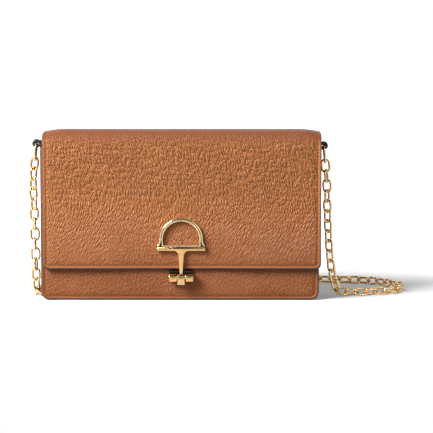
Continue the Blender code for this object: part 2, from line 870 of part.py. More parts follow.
def make_flap():
    shell = make_flap_sheet("flap_shell", 0.0, LEATHER, TAN_LEATHER)
    cut(shell, *POST_BORES, BUTTON_BORE)
    lining = make_flap_sheet(
        "flap_lining", LEATHER + CLEARANCE, FLAP_THICKNESS, LINING_LEATHER
    )
    window = box(
        "clasp_window",
        (
            CLASP_OFFSET - CLASP_PLATE_WIDTH / 2 - CLEARANCE,
            FLAP_FRONT_Y + LEATHER,
            bar_z() - CLASP_PLATE_HEIGHT / 2 - CLEARANCE,
        ),
        (
            CLASP_OFFSET + CLASP_PLATE_WIDTH / 2 + CLEARANCE,
            FLAP_FRONT_Y + FLAP_THICKNESS + BOX_OVERRUN,
            bar_z() + CLASP_PLATE_HEIGHT / 2 + CLEARANCE,
        ),
    )
    cut(lining, helper(window, FLAP_HINGE))


# Clasp


def bar_z():
    return BAR_TOP - BAR_HEIGHT / 2


def post_places():
    return [CLASP_OFFSET + side * POST_SPACING / 2 for side in (-1, 1)]


def make_post_bores():
    """Holes through the flap for the two posts of the clasp, and for the button."""
    ends = (FLAP_FRONT_Y - BOX_OVERRUN, FLAP_FRONT_Y + LEATHER + CLEARANCE / 2)
    bores = []
    for number, x in enumerate(post_places()):
        bore = rod(
            f"post_bore_{number}",
            (x, ends[0], bar_z()),
            (x, ends[1], bar_z()),
            POST_RADIUS + CLEARANCE,
            SMALL_SIDES,
        )
        bores.append(helper(bore, FLAP_HINGE))
    button = rod(
        "button_bore",
        (CLASP_OFFSET, ends[0], button_z()),
        (CLASP_OFFSET, ends[1], button_z()),
        BUTTON_SHANK + CLEARANCE,
        SMALL_SIDES,
    )
    return bores, helper(button, FLAP_HINGE)


def button_z():
    return BAR_TOP + CLEARANCE + RAIL_HEIGHT + BUTTON_RISE


def make_d_bow():
    """The D of the half bit: a round bow on straight legs, with feet that flare out onto
    its bottom rail."""
    low = BAR_TOP + CLEARANCE
    radius = D_WIDTH / 2
    centre = (CLASP_OFFSET, low + D_HEIGHT - radius)
    outer = (
        [
            (CLASP_OFFSET - RAIL_WIDTH / 2, low),
            (CLASP_OFFSET + RAIL_WIDTH / 2, low),
            (CLASP_OFFSET + RAIL_WIDTH / 2, low + RAIL_HEIGHT),
            (CLASP_OFFSET + radius, low + RAIL_HEIGHT + RAIL_FLARE),
        ]
        + arc(centre, radius, 0, 180, D_STEPS)
        + [
            (CLASP_OFFSET - radius, low + RAIL_HEIGHT + RAIL_FLARE),
            (CLASP_OFFSET - RAIL_WIDTH / 2, low + RAIL_HEIGHT),
        ]
    )
    inner = (
        [
            (CLASP_OFFSET - radius + D_BAND, low + RAIL_HEIGHT),
            (CLASP_OFFSET + radius - D_BAND, low + RAIL_HEIGHT),
        ]
        + arc(centre, radius - D_BAND, 0, 180, D_STEPS)
    )
    bow = plate("d_bow", [outer, inner], CLASP_Y, CLASP_FRONT_Y)
    chamfer(bow, D_CHAMFER)
    link(bow, GOLD, FLAP_HINGE)


def stem_ring(share, top, bottom):
    """One section of the stem, from its flare under the bar to its foot on the claw."""
    taper = (1 - share) * (STEM_NECK - STEM_FOOT)
    flare = STEM_FLARE * max(0.0, 1 - share / STEM_FLARE_SHARE) ** 2
    half = (STEM_FOOT + taper + flare) / 2
    bow = STEM_BOW * share**2
    back, front = CLASP_Y - bow, CLASP_FRONT_Y - bow
    corner = STEM_CHAMFER_SHARE * min(2 * half, D_DEPTH)
    z = top + (bottom - top) * share
    section = [
        (-half, back - corner),
        (-half, front + corner),
        (-half + corner, front),
        (half - corner, front),
        (half, front + corner),
        (half, back - corner),
        (half - corner, back),
        (-half + corner, back),
    ]
    return [(CLASP_OFFSET + x, y, z) for x, y in section]


def claw_outline():
    """(y, z) points of the claw from the side. Its seat is round over the keeper's pin,
    and opens along the way the pin leaves when the flap starts to lift."""
    seat = PIN_RADIUS + CLEARANCE
    leave = math.degrees(math.atan2(BACK_Y - KEEPER_Y, HINGE_Z - KEEPER_HEIGHT))
    upper, lower = math.radians(90 - leave), math.radians(-90 - leave)
    slope = math.tan(math.radians(leave))
    upper_y, upper_z = seat * math.cos(upper), seat * math.sin(upper)
    lower_y, lower_z = seat * math.cos(lower), seat * math.sin(lower)
    crown = [
        (-CLAW_FRONT * depth, CLAW_TOP * height) for depth, height in CLAW_CROWN_SHARES
    ]
    points = [
        (CLAW_BACK, CLAW_TOP),
        (CLAW_BACK, upper_z - (CLAW_BACK - upper_y) * slope),
    ]
    points += arc((0.0, 0.0), seat, 90 - leave, 270 - leave, LOOP_STEPS + 1)
    points += [
        (CLAW_BACK, lower_z - (CLAW_BACK - lower_y) * slope),
        (CLAW_BACK, -CLAW_BOTTOM),
        (-CLAW_FRONT, -CLAW_BOTTOM),
        *crown,
    ]
    return [(KEEPER_Y + y, KEEPER_HEIGHT + z) for y, z in points]


def make_clasp_bar():
    """The T of the half bit: the bar on the flap, its stem, and the claw with its thumb
    tab that hooks over the keeper's pin."""
    low, high = BAR_TOP - BAR_HEIGHT, BAR_TOP
    bar = box(
        "clasp_bar",
        (CLASP_OFFSET - RAIL_WIDTH / 2, CLASP_FRONT_Y, low),
        (CLASP_OFFSET + RAIL_WIDTH / 2, CLASP_Y, high),
    )
    chamfer(bar, BAR_CHAMFER)
    link(bar, GOLD, FLAP_HINGE)
    top = low + BAR_HEIGHT / 4
    bottom = KEEPER_HEIGHT + CLAW_TOP * 3 / 4
    stem = loft("clasp_stem", [stem_ring(share, top, bottom) for share in STEM_SHARES])
    claw = extrusion(
        "clasp_claw",
        claw_outline(),
        CLASP_OFFSET - CLAW_WIDTH / 2,
        CLASP_OFFSET + CLAW_WIDTH / 2,
    )
    chamfer(claw, CLAW_CHAMFER)
    tab = box(
        "clasp_tab",
        (
            CLASP_OFFSET - TAB_WIDTH / 2,
            KEEPER_Y - TAB_FRONT,
            KEEPER_HEIGHT - TAB_BOTTOM,
        ),
        (CLASP_OFFSET + TAB_WIDTH / 2, KEEPER_Y + TAB_BACK, KEEPER_HEIGHT - TAB_TOP),
    )
    chamfer(tab, CLAW_CHAMFER)
    join(bar, *(helper(piece, FLAP_HINGE) for piece in (stem, claw, tab)))
    for number, x in enumerate(post_places()):
        post = rod(
            f"clasp_post_{number}",
            (x, CLASP_Y - D_DEPTH / 4, bar_z()),
            (x, FLAP_FRONT_Y + LEATHER, bar_z()),
            POST_RADIUS,
            SMALL_SIDES,
        )
        join(bar, helper(post, FLAP_HINGE))
    cut(bar, *SCREW_BORES)


def make_screw_bores():
    """Bores for the clasp's screws, through its back plate and into its posts."""
    bores = []
    for number, x in enumerate(post_places()):
        bore = rod(
            f"screw_bore_{number}",
            (x, FLAP_FRONT_Y + FLAP_THICKNESS + BOX_OVERRUN, bar_z()),
            (x, CLASP_Y - CLEARANCE, bar_z()),
            SCREW_RADIUS + CLEARANCE,
            SMALL_SIDES,
        )
        bores.append(helper(bore, FLAP_HINGE))
    return bores


def make_clasp_fixings():
    """The clasp's back plate in its window in the flap's lining, and two screws."""
    outer = FLAP_FRONT_Y + LEATHER + CLEARANCE
    inner = FLAP_FRONT_Y + FLAP_THICKNESS
    backing = box(
        "clasp_backplate",
        (
            CLASP_OFFSET - CLASP_PLATE_WIDTH / 2,
            outer,
            bar_z() - CLASP_PLATE_HEIGHT / 2,
        ),
        (
            CLASP_OFFSET + CLASP_PLATE_WIDTH / 2,
            inner,
            bar_z() + CLASP_PLATE_HEIGHT / 2,
        ),
    )
    cut(link(backing, GOLD, FLAP_HINGE), *SCREW_BORES)
    for name, x in zip(("clasp_screw_left", "clasp_screw_right"), post_places()):
        seat = rod(
            f"{name}_seat",
            (x, inner - SCREW_HEAD_HEIGHT - CLEARANCE / 2, bar_z()),
            (x, inner + BOX_OVERRUN, bar_z()),
            SCREW_HEAD + CLEARANCE,
            SMALL_SIDES,
        )
        cut(backing, helper(seat, FLAP_HINGE))
        length = inner - CLASP_Y
        profile = [
            (0.0, 0.0),
            (SCREW_HEAD, 0.0),
            (SCREW_HEAD, -SCREW_HEAD_HEIGHT),
            (SCREW_RADIUS, -SCREW_HEAD_HEIGHT),
            (SCREW_RADIUS, -length),
            (0.0, -length),
        ]
        screw = turned(name, profile, (x, inner, bar_z()), (0, 1, 0), SMALL_SIDES)
        link(screw, GOLD, FLAP_HINGE)


def make_button():
    """The small domed rivet in the leather just above the D's rail."""
    dome = [
        (BUTTON_RADIUS * math.sin(a), BUTTON_HEIGHT * math.cos(a))
        for a in steps(0, math.pi / 2, CORNER_STEPS - 1)
    ]
    shank = CLEARANCE + LEATHER
    profile = dome + [(BUTTON_SHANK, 0.0), (BUTTON_SHANK, -shank), (0.0, -shank)]
    button = turned(
        "clasp_button",
        profile,
        (CLASP_OFFSET, FLAP_FRONT_Y - CLEARANCE, button_z()),
        (0, -1, 0),
        SMALL_SIDES,
    )
    link(button, GOLD, FLAP_HINGE)


# Keeper


def keeper_rivet_z():
    return KEEPER_HEIGHT + KEEPER_RIVET_RISE - RIVET_RADIUS


def keeper_rivet_places():
    return [CLASP_OFFSET + side * KEEPER_RIVET_SPACING / 2 for side in (-1, 1)]


def make_keeper_bores():
    bores = []
    for number, x in enumerate(keeper_rivet_places()):
        bore = rod(
            f"keeper_bore_{number}",
            (x, KEEPER_BACK_Y - RIVET_BITE - CLEARANCE, keeper_rivet_z()),
            (x, -LINER_Y + LINING + BOX_OVERRUN, keeper_rivet_z()),
            RIVET_RADIUS + CLEARANCE,
            SMALL_SIDES,
        )
        bores.append(helper(bore))
    return bores


def make_keeper():
    """The base plate with a saddle for the barrels, the two barrels, the pin that the
    claw hooks over, and what fixes them through the front panel."""
    base = box(
        "keeper_plate",
        (
            CLASP_OFFSET - KEEPER_WIDTH / 2,
            KEEPER_FRONT_Y,
            KEEPER_HEIGHT - KEEPER_PLATE_BELOW,
        ),
        (CLASP_OFFSET + KEEPER_WIDTH / 2, KEEPER_BACK_Y, KEEPER_PLATE_TOP),
    )
    chamfer(base, KEEPER_PLATE_CHAMFER)
    saddle = rod(
        "keeper_saddle",
        (CLASP_OFFSET - KEEPER_WIDTH / 2 - BOX_OVERRUN, KEEPER_Y, KEEPER_HEIGHT),
        (CLASP_OFFSET + KEEPER_WIDTH / 2 + BOX_OVERRUN, KEEPER_Y, KEEPER_HEIGHT),
        BARREL_RADIUS + CLEARANCE,
    )
    cut(link(base, BLACK_METAL), helper(saddle), *KEEPER_BORES)

    length = (KEEPER_WIDTH - KEEPER_SPACE) / 2
    grip = PIN_RADIUS + CLEARANCE
    outer, edge = BARREL_RADIUS, BARREL_CHAMFER
    groove_start, groove_end = (length * share for share in BARREL_GROOVE_SHARES)
    profile = [
        (0.0, length),
        (outer - edge, length),
        (outer, length - edge),
        (outer, length - groove_start),
        (outer - edge / 2, length - (groove_start + groove_end) / 2),
        (outer, length - groove_end),
        (outer, edge),
        (outer - edge, 0.0),
        (grip, 0.0),
        (grip, PIN_GRIP + CLEARANCE),
        (0.0, PIN_GRIP + CLEARANCE),
    ]
    for name, side in (("barrel_left", -1), ("barrel_right", 1)):
        place = (CLASP_OFFSET + side * KEEPER_SPACE / 2, KEEPER_Y, KEEPER_HEIGHT)
        link(turned(name, profile, place, (side, 0, 0)), GOLD)

    reach = KEEPER_SPACE / 2 + PIN_GRIP
    pin = rod(
        "keeper_pin",
        (CLASP_OFFSET - reach, KEEPER_Y, KEEPER_HEIGHT),
        (CLASP_OFFSET + reach, KEEPER_Y, KEEPER_HEIGHT),
        PIN_RADIUS,
    )
    link(pin, GOLD)

    inner = -LINER_Y + LINING
    backing = box(
        "keeper_backplate",
        (
            CLASP_OFFSET - KEEPER_BACKPLATE_WIDTH / 2,
            -LINER_Y,
            keeper_rivet_z() - KEEPER_BACKPLATE_HEIGHT / 2,
        ),
        (
            CLASP_OFFSET + KEEPER_BACKPLATE_WIDTH / 2,
            inner,
            keeper_rivet_z() + KEEPER_BACKPLATE_HEIGHT / 2,
        ),
    )
    cut(link(backing, GOLD), *KEEPER_BORES)
    names = ("keeper_rivet_left", "keeper_rivet_right")
    length = inner + CLEARANCE - KEEPER_BACK_Y + RIVET_BITE
    for name, x in zip(names, keeper_rivet_places()):
        profile = rivet_head() + [(RIVET_RADIUS, 0.0), (RIVET_RADIUS, -length), (0.0, -length)]
        rivet = turned(
            name, profile, (x, inner + CLEARANCE, keeper_rivet_z()), (0, 1, 0), SMALL_SIDES
        )
        link(rivet, GOLD)


def rivet_head():
    """A low domed head that stands on height zero."""
    return [
        (0.0, RIVET_HEAD_HEIGHT),
        (RIVET_HEAD / 2, RIVET_HEAD_HEIGHT),
        (RIVET_HEAD, RIVET_HEAD_HEIGHT / 2),
        (RIVET_HEAD, 0.0),
    ]


# Strap loops


def tail_x(inside):
    """The middle of the strap's tail on the inner or the outer side of the web."""
    away = GUSSET / 2 + CLEARANCE + STRAP / 2
    return WEB_X - away if inside else WEB_X + away


def hole_z(side):
    return GUSSET_HEIGHT + (STRAP_RISE_LEFT if side < 0 else STRAP_RISE_RIGHT)


def make_strap_bores():
    bores = {}
    for side in (-1, 1):
        z = GUSSET_HEIGHT - STRAP_RIVET_DEPTH
        bore = rod(
            f"strap_bore_{side}",
            (side * (tail_x(True) - STRAP), 0.0, z),
            (side * (tail_x(False) + STRAP), 0.0, z),
            RIVET_RADIUS + CLEARANCE,
            SMALL_SIDES,
        )
        bores[side] = helper(bore)
    return bores


def make_strap_loop(name, side):
    """A narrow strap folded round the end link, its tails riveted to the gusset's web."""
    middle = STRAP_HOLE + STRAP / 2
    z = hole_z(side)
    top, bottom = z + middle, z - middle
    inner, outer = tail_x(True), tail_x(False)
    tail_z = GUSSET_HEIGHT - STRAP_TAIL_DEPTH
    line = [(inner, tail_z)]
    line += arc((inner + STRAP_BEND, top - STRAP_BEND), STRAP_BEND, 180, 90, CORNER_STEPS)
    line += arc((STRAP_HOLE_X, z), middle, 90, -90, 2 * LOOP_STEPS)
    line += arc(
        (outer + STRAP_RETURN, bottom - STRAP_RETURN), STRAP_RETURN, 90, 180, CORNER_STEPS
    )
    line += [(outer, tail_z)]
    outline = [(side * x, height) for x, height in ribbon(line, STRAP)]
    strap = plate(name, [outline], -STRAP_WIDTH / 2, STRAP_WIDTH / 2)
    cut(link(strap, EDGE_LEATHER), STRAP_BORES[side])


def make_loop_rivet(name, side):
    """A rivet through both tails and the web."""
    z = GUSSET_HEIGHT - STRAP_RIVET_DEPTH
    start = tail_x(True) - STRAP / 2 - CLEARANCE
    end = tail_x(False) + STRAP / 2 + CLEARANCE
    length = end - start
    far_head = [(radius, -length - height) for radius, height in reversed(rivet_head())]
    profile = (
        rivet_head() + [(RIVET_RADIUS, 0.0), (RIVET_RADIUS, -length)] + far_head
    )
    rivet = turned(name, profile, (side * end, 0.0, z), (side, 0, 0), SMALL_SIDES)
    link(rivet, GOLD)


# Chain


def add_link(bm, middle, along, across, length, width, wire, end_points, sides):
    """One oval link of round wire. Length and width are those of the wire's middle line."""
    normal = along.cross(across)
    step = math.pi / (end_points - 1)
    radius = width / 2
    straight = length / 2 - radius * math.cos(step / 2)
    line = []
    for end in (1, -1):
        for i in range(end_points):
            a = -math.pi / 2 + step * i
            line.append(
                Vector((end * (straight + radius * math.cos(a)), end * radius * math.sin(a)))
            )
    rows = []
    for i, here in enumerate(line):
        before = (here - line[i - 1]).normalized()
        after = (line[(i + 1) % len(line)] - here).normalized()
        outward = Vector((before.y + after.y, -before.x - after.x)).normalized()
        stretch = 1 / outward.dot(Vector((before.y, -before.x)))
        row = []
        for k in range(sides):
            a = math.pi + 2 * math.pi * k / sides
            flat = here + outward * (wire / 2 * math.cos(a) * stretch)
            point = middle + along * flat.x + across * flat.y
            row.append(bm.verts.new(point + normal * (wire / 2 * math.sin(a))))
        rows.append(row)
    for i, row in enumerate(rows):
        following = rows[(i + 1) % len(rows)]
        for k in range(sides):
            j = (k + 1) % sides
            bm.faces.new((row[k], following[k], following[j], row[j]))


def smooth_route(points):
    """Points close together on a smooth curve through the route's own points."""
    ends = [2 * points[0] - points[1], *points, 2 * points[-1] - points[-2]]
    fine = []
    for i in range(1, len(ends) - 2):
        a, b, c, d = ends[i - 1 : i + 3]
        for k in range(ROUTE_STEPS):
            t = k / ROUTE_STEPS
            fine.append(
                b
                + (c - a) * (t / 2)
                + (2 * a - 5 * b + 4 * c - d) * (t * t / 2)
                + (3 * (b - c) + d - a) * (t**3 / 2)
            )
    fine.append(ends[-2])
    return np.array(fine)


def hank_route():
    """Rows to and fro behind the bag, joined by round folds."""
    points = []
    for row in range(HANK_ROWS):
        way = 1 if row % 2 == 0 else -1
        y = HANK_FIRST_ROW + HANK_SPACING * row
        for x in steps(-way * HANK_HALF_LENGTH, way * HANK_HALF_LENGTH, HANK_ROW_POINTS):
            points.append((x, y, CHAIN_LIE))
        if row == HANK_ROWS - 1:
            break
        centre = (way * HANK_HALF_LENGTH, y + HANK_SPACING / 2)
        turn = arc(centre, HANK_SPACING / 2, -90, 90, HANK_FOLD_POINTS + 1)[1:-1]
        for x, z in turn:
            points.append((centre[0] + way * (x - centre[0]), z, CHAIN_LIE))
    return points


def place_at(line, distances, s):
    return np.array([np.interp(s, distances, line[:, k]) for k in range(3)])


def next_joint(line, distances, s, pitch):
    """How far along the route the next joint lies, one pitch from here in a straight line."""
    here = place_at(line, distances, s)
    low, high = s, s + 2 * pitch
    for _ in range(40):
        middle = (low + high) / 2
        if np.linalg.norm(beyond(line, distances, middle) - here) < pitch:
            low = middle
        else:
            high = middle
    return (low + high) / 2


def beyond(line, distances, s):
    """The point at s, on a straight line past the route's end."""
    extra = max(0.0, s - distances[-1])
    way = (line[-1] - line[-2]) / np.linalg.norm(line[-1] - line[-2])
    return place_at(line, distances, min(s, distances[-1])) + way * extra


def chain_joints(line, run_lengths, pitch):
    """For each link, the two joints it spans. At the end of a run the next link starts a
    little back, which keeps the runs a small gap apart."""
    distances = np.concatenate(
        [[0.0], np.cumsum(np.linalg.norm(np.diff(line, axis=0), axis=1))]
    )
    spans, s = [], 0.0
    for count in run_lengths:
        for _ in range(count):
            after = next_joint(line, distances, s, pitch)
            spans.append((beyond(line, distances, s), beyond(line, distances, after)))
            s = after
        s -= LINK_BITE + RUN_GAP
    return spans, s + LINK_BITE + RUN_GAP - distances[-1]


def fitted_chain(line, run_lengths):
    """The spans of all links, with the pitch that makes the last one end at the route's
    end."""
    low, high = LINK_PITCH * 0.9, LINK_PITCH * 1.1
    for _ in range(30):
        pitch = (low + high) / 2
        _, over = chain_joints(line, run_lengths, pitch)
        low, high = (low, pitch) if over > 0 else (pitch, high)
    spans, _ = chain_joints(line, run_lengths, pitch)
    return spans, pitch


def end_link_joint(side, towards):
    """Where the chain's first link hooks into the end link, and the end link's own frame."""
    top = Vector((side * STRAP_HOLE_X, 0.0, hole_z(side)))
    along = (Vector(towards) - top).normalized()
    length = END_LINK_LENGTH - END_LINK_WIRE
    hook = (END_LINK_WIRE + LINK_WIRE) / 2 + RUN_GAP
    return top, along, top + along * (length - hook + (LINK_WIRE - LINK_BITE) / 2)


def make_end_link(name, side, towards):
    top, along, _ = end_link_joint(side, towards)
    across = Vector((0.0, 1.0, 0.0))
    length = END_LINK_LENGTH - END_LINK_WIRE
    bm = bmesh.new()
    add_link(
        bm,
        top + along * (length / 2),
        along,
        across,
        length,
        END_LINK_WIDTH - END_LINK_WIRE,
        END_LINK_WIRE,
        LINK_END_POINTS,
        LINK_WIRE_SIDES + 1,
    )
    link(mesh_object(name, bm), GOLD)


def drop_points(side):
    """The points of a drop, at their shares of the height of the loop's hole."""
    drop_shares = LEFT_DROP_SHARES if side < 0 else RIGHT_DROP_SHARES
    return [(x, y, share * hole_z(side)) for x, y, share in drop_shares]


def make_chain():
    left_drop, right_drop = drop_points(-1), drop_points(1)
    left = end_link_joint(-1, left_drop[0])[2]
    right = end_link_joint(1, right_drop[-1])[2]
    floor_points = [*ROUTE_LEFT, *hank_route(), *ROUTE_RIGHT]
    points = [tuple(left), *left_drop, *floor_points, *right_drop, tuple(right)]
    line = smooth_route(np.array(points))
    run_lengths = [count for _, count, _ in RUN_NAMES]
    spans, pitch = fitted_chain(line, run_lengths)
    way = Vector(spans[0][1] - spans[0][0]).normalized()
    across = (Vector((1.0, 0.0, 0.0)) - way * way.x).normalized()
    roll_counts = [count for count, _ in LINK_ROLLS]
    roll_degrees = [degrees for _, degrees in LINK_ROLLS]
    number = 0
    for name, count, hidden in RUN_NAMES:
        end_points = HIDDEN_LINK_END_POINTS if hidden else LINK_END_POINTS
        sides = HIDDEN_LINK_WIRE_SIDES if hidden else LINK_WIRE_SIDES
        meshes = (bmesh.new(), bmesh.new())
        for start, end in spans[number : number + count]:
            along = Vector(end - start).normalized()
            across.rotate(way.rotation_difference(along))
            way = along
            roll = float(np.interp(number, roll_counts, roll_degrees)) + 90 * (number % 2)
            turned_across = Matrix.Rotation(math.radians(roll), 3, along) @ across
            add_link(
                meshes[number % 2],
                Vector((start + end) / 2),
                along,
                turned_across,
                pitch + LINK_WIRE - LINK_BITE,
                LINK_WIDTH - LINK_WIRE,
                LINK_WIRE,
                end_points,
                sides,
            )
            number += 1
        run = mesh_object(name, meshes[0])
        others = mesh_object(f"{name}_others", meshes[1])
        join(link(run, GOLD), helper(others))
    print_chain_facts(line, spans, pitch)


def print_chain_facts(line, spans, pitch):
    """The chain's real length, and the least gap between stretches that lie side by side."""
    middles = np.array([(start + end) / 2 for start, end in spans])
    apart = np.linalg.norm(middles[:, None] - middles[None], axis=2)
    index = np.arange(len(middles))
    apart[np.abs(index[:, None] - index[None]) < 4] = np.inf
    length = float(np.linalg.norm(np.diff(line, axis=0), axis=1).sum())
    print(f"chain: {len(spans)} links, pitch {pitch * 1000:.3f} mm, {length * 1000:.1f} mm")
    print(f"least gap between stretches: {(apart.min() - LINK_WIDTH) * 1000:.2f} mm")
    print(f"lowest joint of a link: {min(s[1][2] for s in spans) * 1000:.2f} mm")


# Assembly

KEEPER_BORES = make_keeper_bores()
STRAP_BORES = make_strap_bores()
POST_BORES, BUTTON_BORE = make_post_bores()
SCREW_BORES = make_screw_bores()

make_body()
make_zip_pocket()
make_slider()
make_card_slots()
make_flap()
make_d_bow()
make_clasp_bar()
make_clasp_fixings()
make_button()
make_keeper()
for side_name, loop_side, drop_end in (("left", -1, 0), ("right", 1, -1)):
    make_strap_loop(f"{side_name}_strap_loop", loop_side)
    make_loop_rivet(f"{side_name}_loop_rivet", loop_side)
    make_end_link(f"{side_name}_end_link", loop_side, drop_points(loop_side)[drop_end])
make_chain()
bpy.context.view_layer.update()
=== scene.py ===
"""The looks of the wallet on chain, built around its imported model: grained leather with
painted edges and stitching, a polished chain on its route, and the polished clasp.

Lengths are in metres. X runs to the viewer's right, -Y faces the viewer, +Z is up. Shapes
are worked out about the middle of the body, as in the part's source, and moved by SHIFT.
"""

import math

import bmesh
import bpy
import numpy as np
from mathutils import Matrix, Vector, noise


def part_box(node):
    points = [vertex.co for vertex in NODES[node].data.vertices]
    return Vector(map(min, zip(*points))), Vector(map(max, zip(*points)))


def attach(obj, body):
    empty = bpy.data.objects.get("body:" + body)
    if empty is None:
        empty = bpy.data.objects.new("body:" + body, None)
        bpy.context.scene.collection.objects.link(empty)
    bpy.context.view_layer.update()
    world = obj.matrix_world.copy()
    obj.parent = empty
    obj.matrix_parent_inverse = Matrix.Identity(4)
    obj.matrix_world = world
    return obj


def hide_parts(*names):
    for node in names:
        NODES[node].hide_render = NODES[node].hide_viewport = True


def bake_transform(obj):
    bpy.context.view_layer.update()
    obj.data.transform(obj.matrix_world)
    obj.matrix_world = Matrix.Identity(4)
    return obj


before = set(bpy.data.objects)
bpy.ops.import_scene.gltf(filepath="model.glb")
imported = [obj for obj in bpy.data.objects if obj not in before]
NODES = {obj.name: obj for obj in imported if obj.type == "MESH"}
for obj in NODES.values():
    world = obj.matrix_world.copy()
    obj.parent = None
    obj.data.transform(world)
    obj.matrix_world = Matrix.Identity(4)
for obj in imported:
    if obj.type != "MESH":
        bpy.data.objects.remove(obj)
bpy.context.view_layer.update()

MM = 0.001
SHIFT = Vector((0.0, 3.875 * MM, 0.0))

# Sizes that repeat those of the part's source
HALF_WIDTH = 95.0 * MM
BAG_TOP = 115.5 * MM
FRONT_TOP = 105.5 * MM
GUSSET_TOP = 97.5 * MM
BODY_CORNER = 5.7 * MM
FRONT_Y = -16.0 * MM
BACK_Y = 16.0 * MM
FLAP_Y = -18.8 * MM
FLAP_OFFSET = 1.35 * MM
CLASP_OFFSET = 0.9 * MM
FLAP_HALF = 95.0 * MM
FLAP_BOTTOM = 21.6 * MM
FLAP_CORNER = 3.9 * MM
FRONT_FOLD = 9.0 * MM
BACK_FOLD = 7.5 * MM
DROOP = 1.4 * MM
DROOP_REACH = 13.5 * MM
STITCH_INSET = 2.5 * MM
LEATHER = 1.3 * MM
GUSSET = 0.9 * MM
SEAM = 4.2 * MM
CLASP_Y = -19.1 * MM
CLASP_DEPTH = 2.6 * MM
KEEPER_Y = -20.15 * MM
KEEPER_Z = 16.0 * MM
STRAP_HOLE_X = 98.5 * MM
END_LINK_WIDTH = 8.3 * MM
END_LINK_WIRE = 1.7 * MM


# Camera and stage


def make_camera():
    camera = bpy.data.objects.new("camera", bpy.data.cameras.new("camera"))
    bpy.context.scene.collection.objects.link(camera)
    camera.data.sensor_width = 36.0
    camera.data.lens = 184.23
    camera.data.clip_end = 60.0
    camera.location = (0.0290, -1.512125, 0.22965)
    camera.rotation_euler = (math.pi / 2 - 0.11422, 0.0, 0.00268)
    bpy.context.scene.camera = camera


def node(tree, kind, inputs=None, **settings):
    """Adds a shader node. An input is another node's output, or a value."""
    made = tree.nodes.new(kind)
    for key, value in settings.items():
        setattr(made, key, value)
    for key, value in (inputs or {}).items():
        if isinstance(value, bpy.types.NodeSocket):
            tree.links.new(value, made.inputs[key])
        else:
            made.inputs[key].default_value = value
    return made


def maths(tree, operation, one, other=0.0, clamp=False):
    made = node(tree, "ShaderNodeMath", {0: one, 1: other}, operation=operation)
    made.use_clamp = clamp
    return made.outputs[0]


def remap(tree, value, low, high, to_low=0.0, to_high=1.0):
    made = node(
        tree,
        "ShaderNodeMapRange",
        {
            "Value": value,
            "From Min": low,
            "From Max": high,
            "To Min": to_low,
            "To Max": to_high,
        },
        interpolation_type="SMOOTHSTEP",
    )
    return made.outputs[0]


PAPER_HALF_WIDTH = 0.75
PAPER_FRONT = -0.32
PAPER_BACK = 3.0
PAPER = 0.86
PAPER_BOUNCE = 0.20
PAPER_REFLECTED_IN_FRONT = 0.65
PAPER_REFLECTED_BEHIND = 0.95


def make_stage():
    """A sheet of white paper that ends a little in front of the object."""
    bm = bmesh.new()
    bmesh.ops.create_grid(bm, x_segments=2, y_segments=2, size=0.5)
    for vertex in bm.verts:
        vertex.co.x *= 2 * PAPER_HALF_WIDTH
        vertex.co.y = PAPER_FRONT + (vertex.co.y + 0.5) * (PAPER_BACK - PAPER_FRONT)
    mesh = bpy.data.meshes.new("floor")
    bm.to_mesh(mesh)
    bm.free()
    floor = bpy.data.objects.new("floor", mesh)
    floor.location = (0.0, 0.0, -0.00005)
    bpy.context.scene.collection.objects.link(floor)

    material = bpy.data.materials.new("floor")
    material.use_nodes = True
    tree = material.node_tree
    tree.nodes.clear()
    path = node(tree, "ShaderNodeLightPath")
    # The paper throws less light up at the object than it shows
    shown = node(
        tree,
        "ShaderNodeMix",
        {"Factor": path.outputs["Is Diffuse Ray"], "A": PAPER, "B": PAPER_BOUNCE},
        data_type="FLOAT",
    )
    place = node(tree, "ShaderNodeTexCoord").outputs["Object"]
    # Painted reflection: metal sees the paper at two set levels, darker in front of the bag's front
    # than behind it
    behind = node(tree, "ShaderNodeSeparateXYZ", {"Vector": place}).outputs["Y"]
    mirrored = remap(tree, behind, -0.03, 0.0, PAPER_REFLECTED_IN_FRONT, PAPER_REFLECTED_BEHIND)
    shown = node(
        tree,
        "ShaderNodeMix",
        {"Factor": path.outputs["Is Glossy Ray"], "A": shown.outputs[0], "B": mirrored},
        data_type="FLOAT",
    )
    diffuse = node(tree, "ShaderNodeBsdfDiffuse", {"Color": shown.outputs[0]})
    # Paper under the object, white from a hand's breadth away from it outwards
    away =node(tree, "ShaderNodeVectorMath", {0: place}, operation="LENGTH").outputs["Value"]
    white = remap(tree, away, 0.12, 0.36, 0.14, 1.0)
    lift = maths(tree, "MULTIPLY", path.outputs["Is Camera Ray"], white)
    glow = node(tree, "ShaderNodeEmission", {"Color": (1, 1, 1, 1), "Strength": lift})
    both = node(tree, "ShaderNodeAddShader", {0: diffuse.outputs[0], 1: glow.outputs[0]})
    node(tree, "ShaderNodeOutputMaterial", {"Surface": both.outputs[0]})
    mesh.materials.append(material)


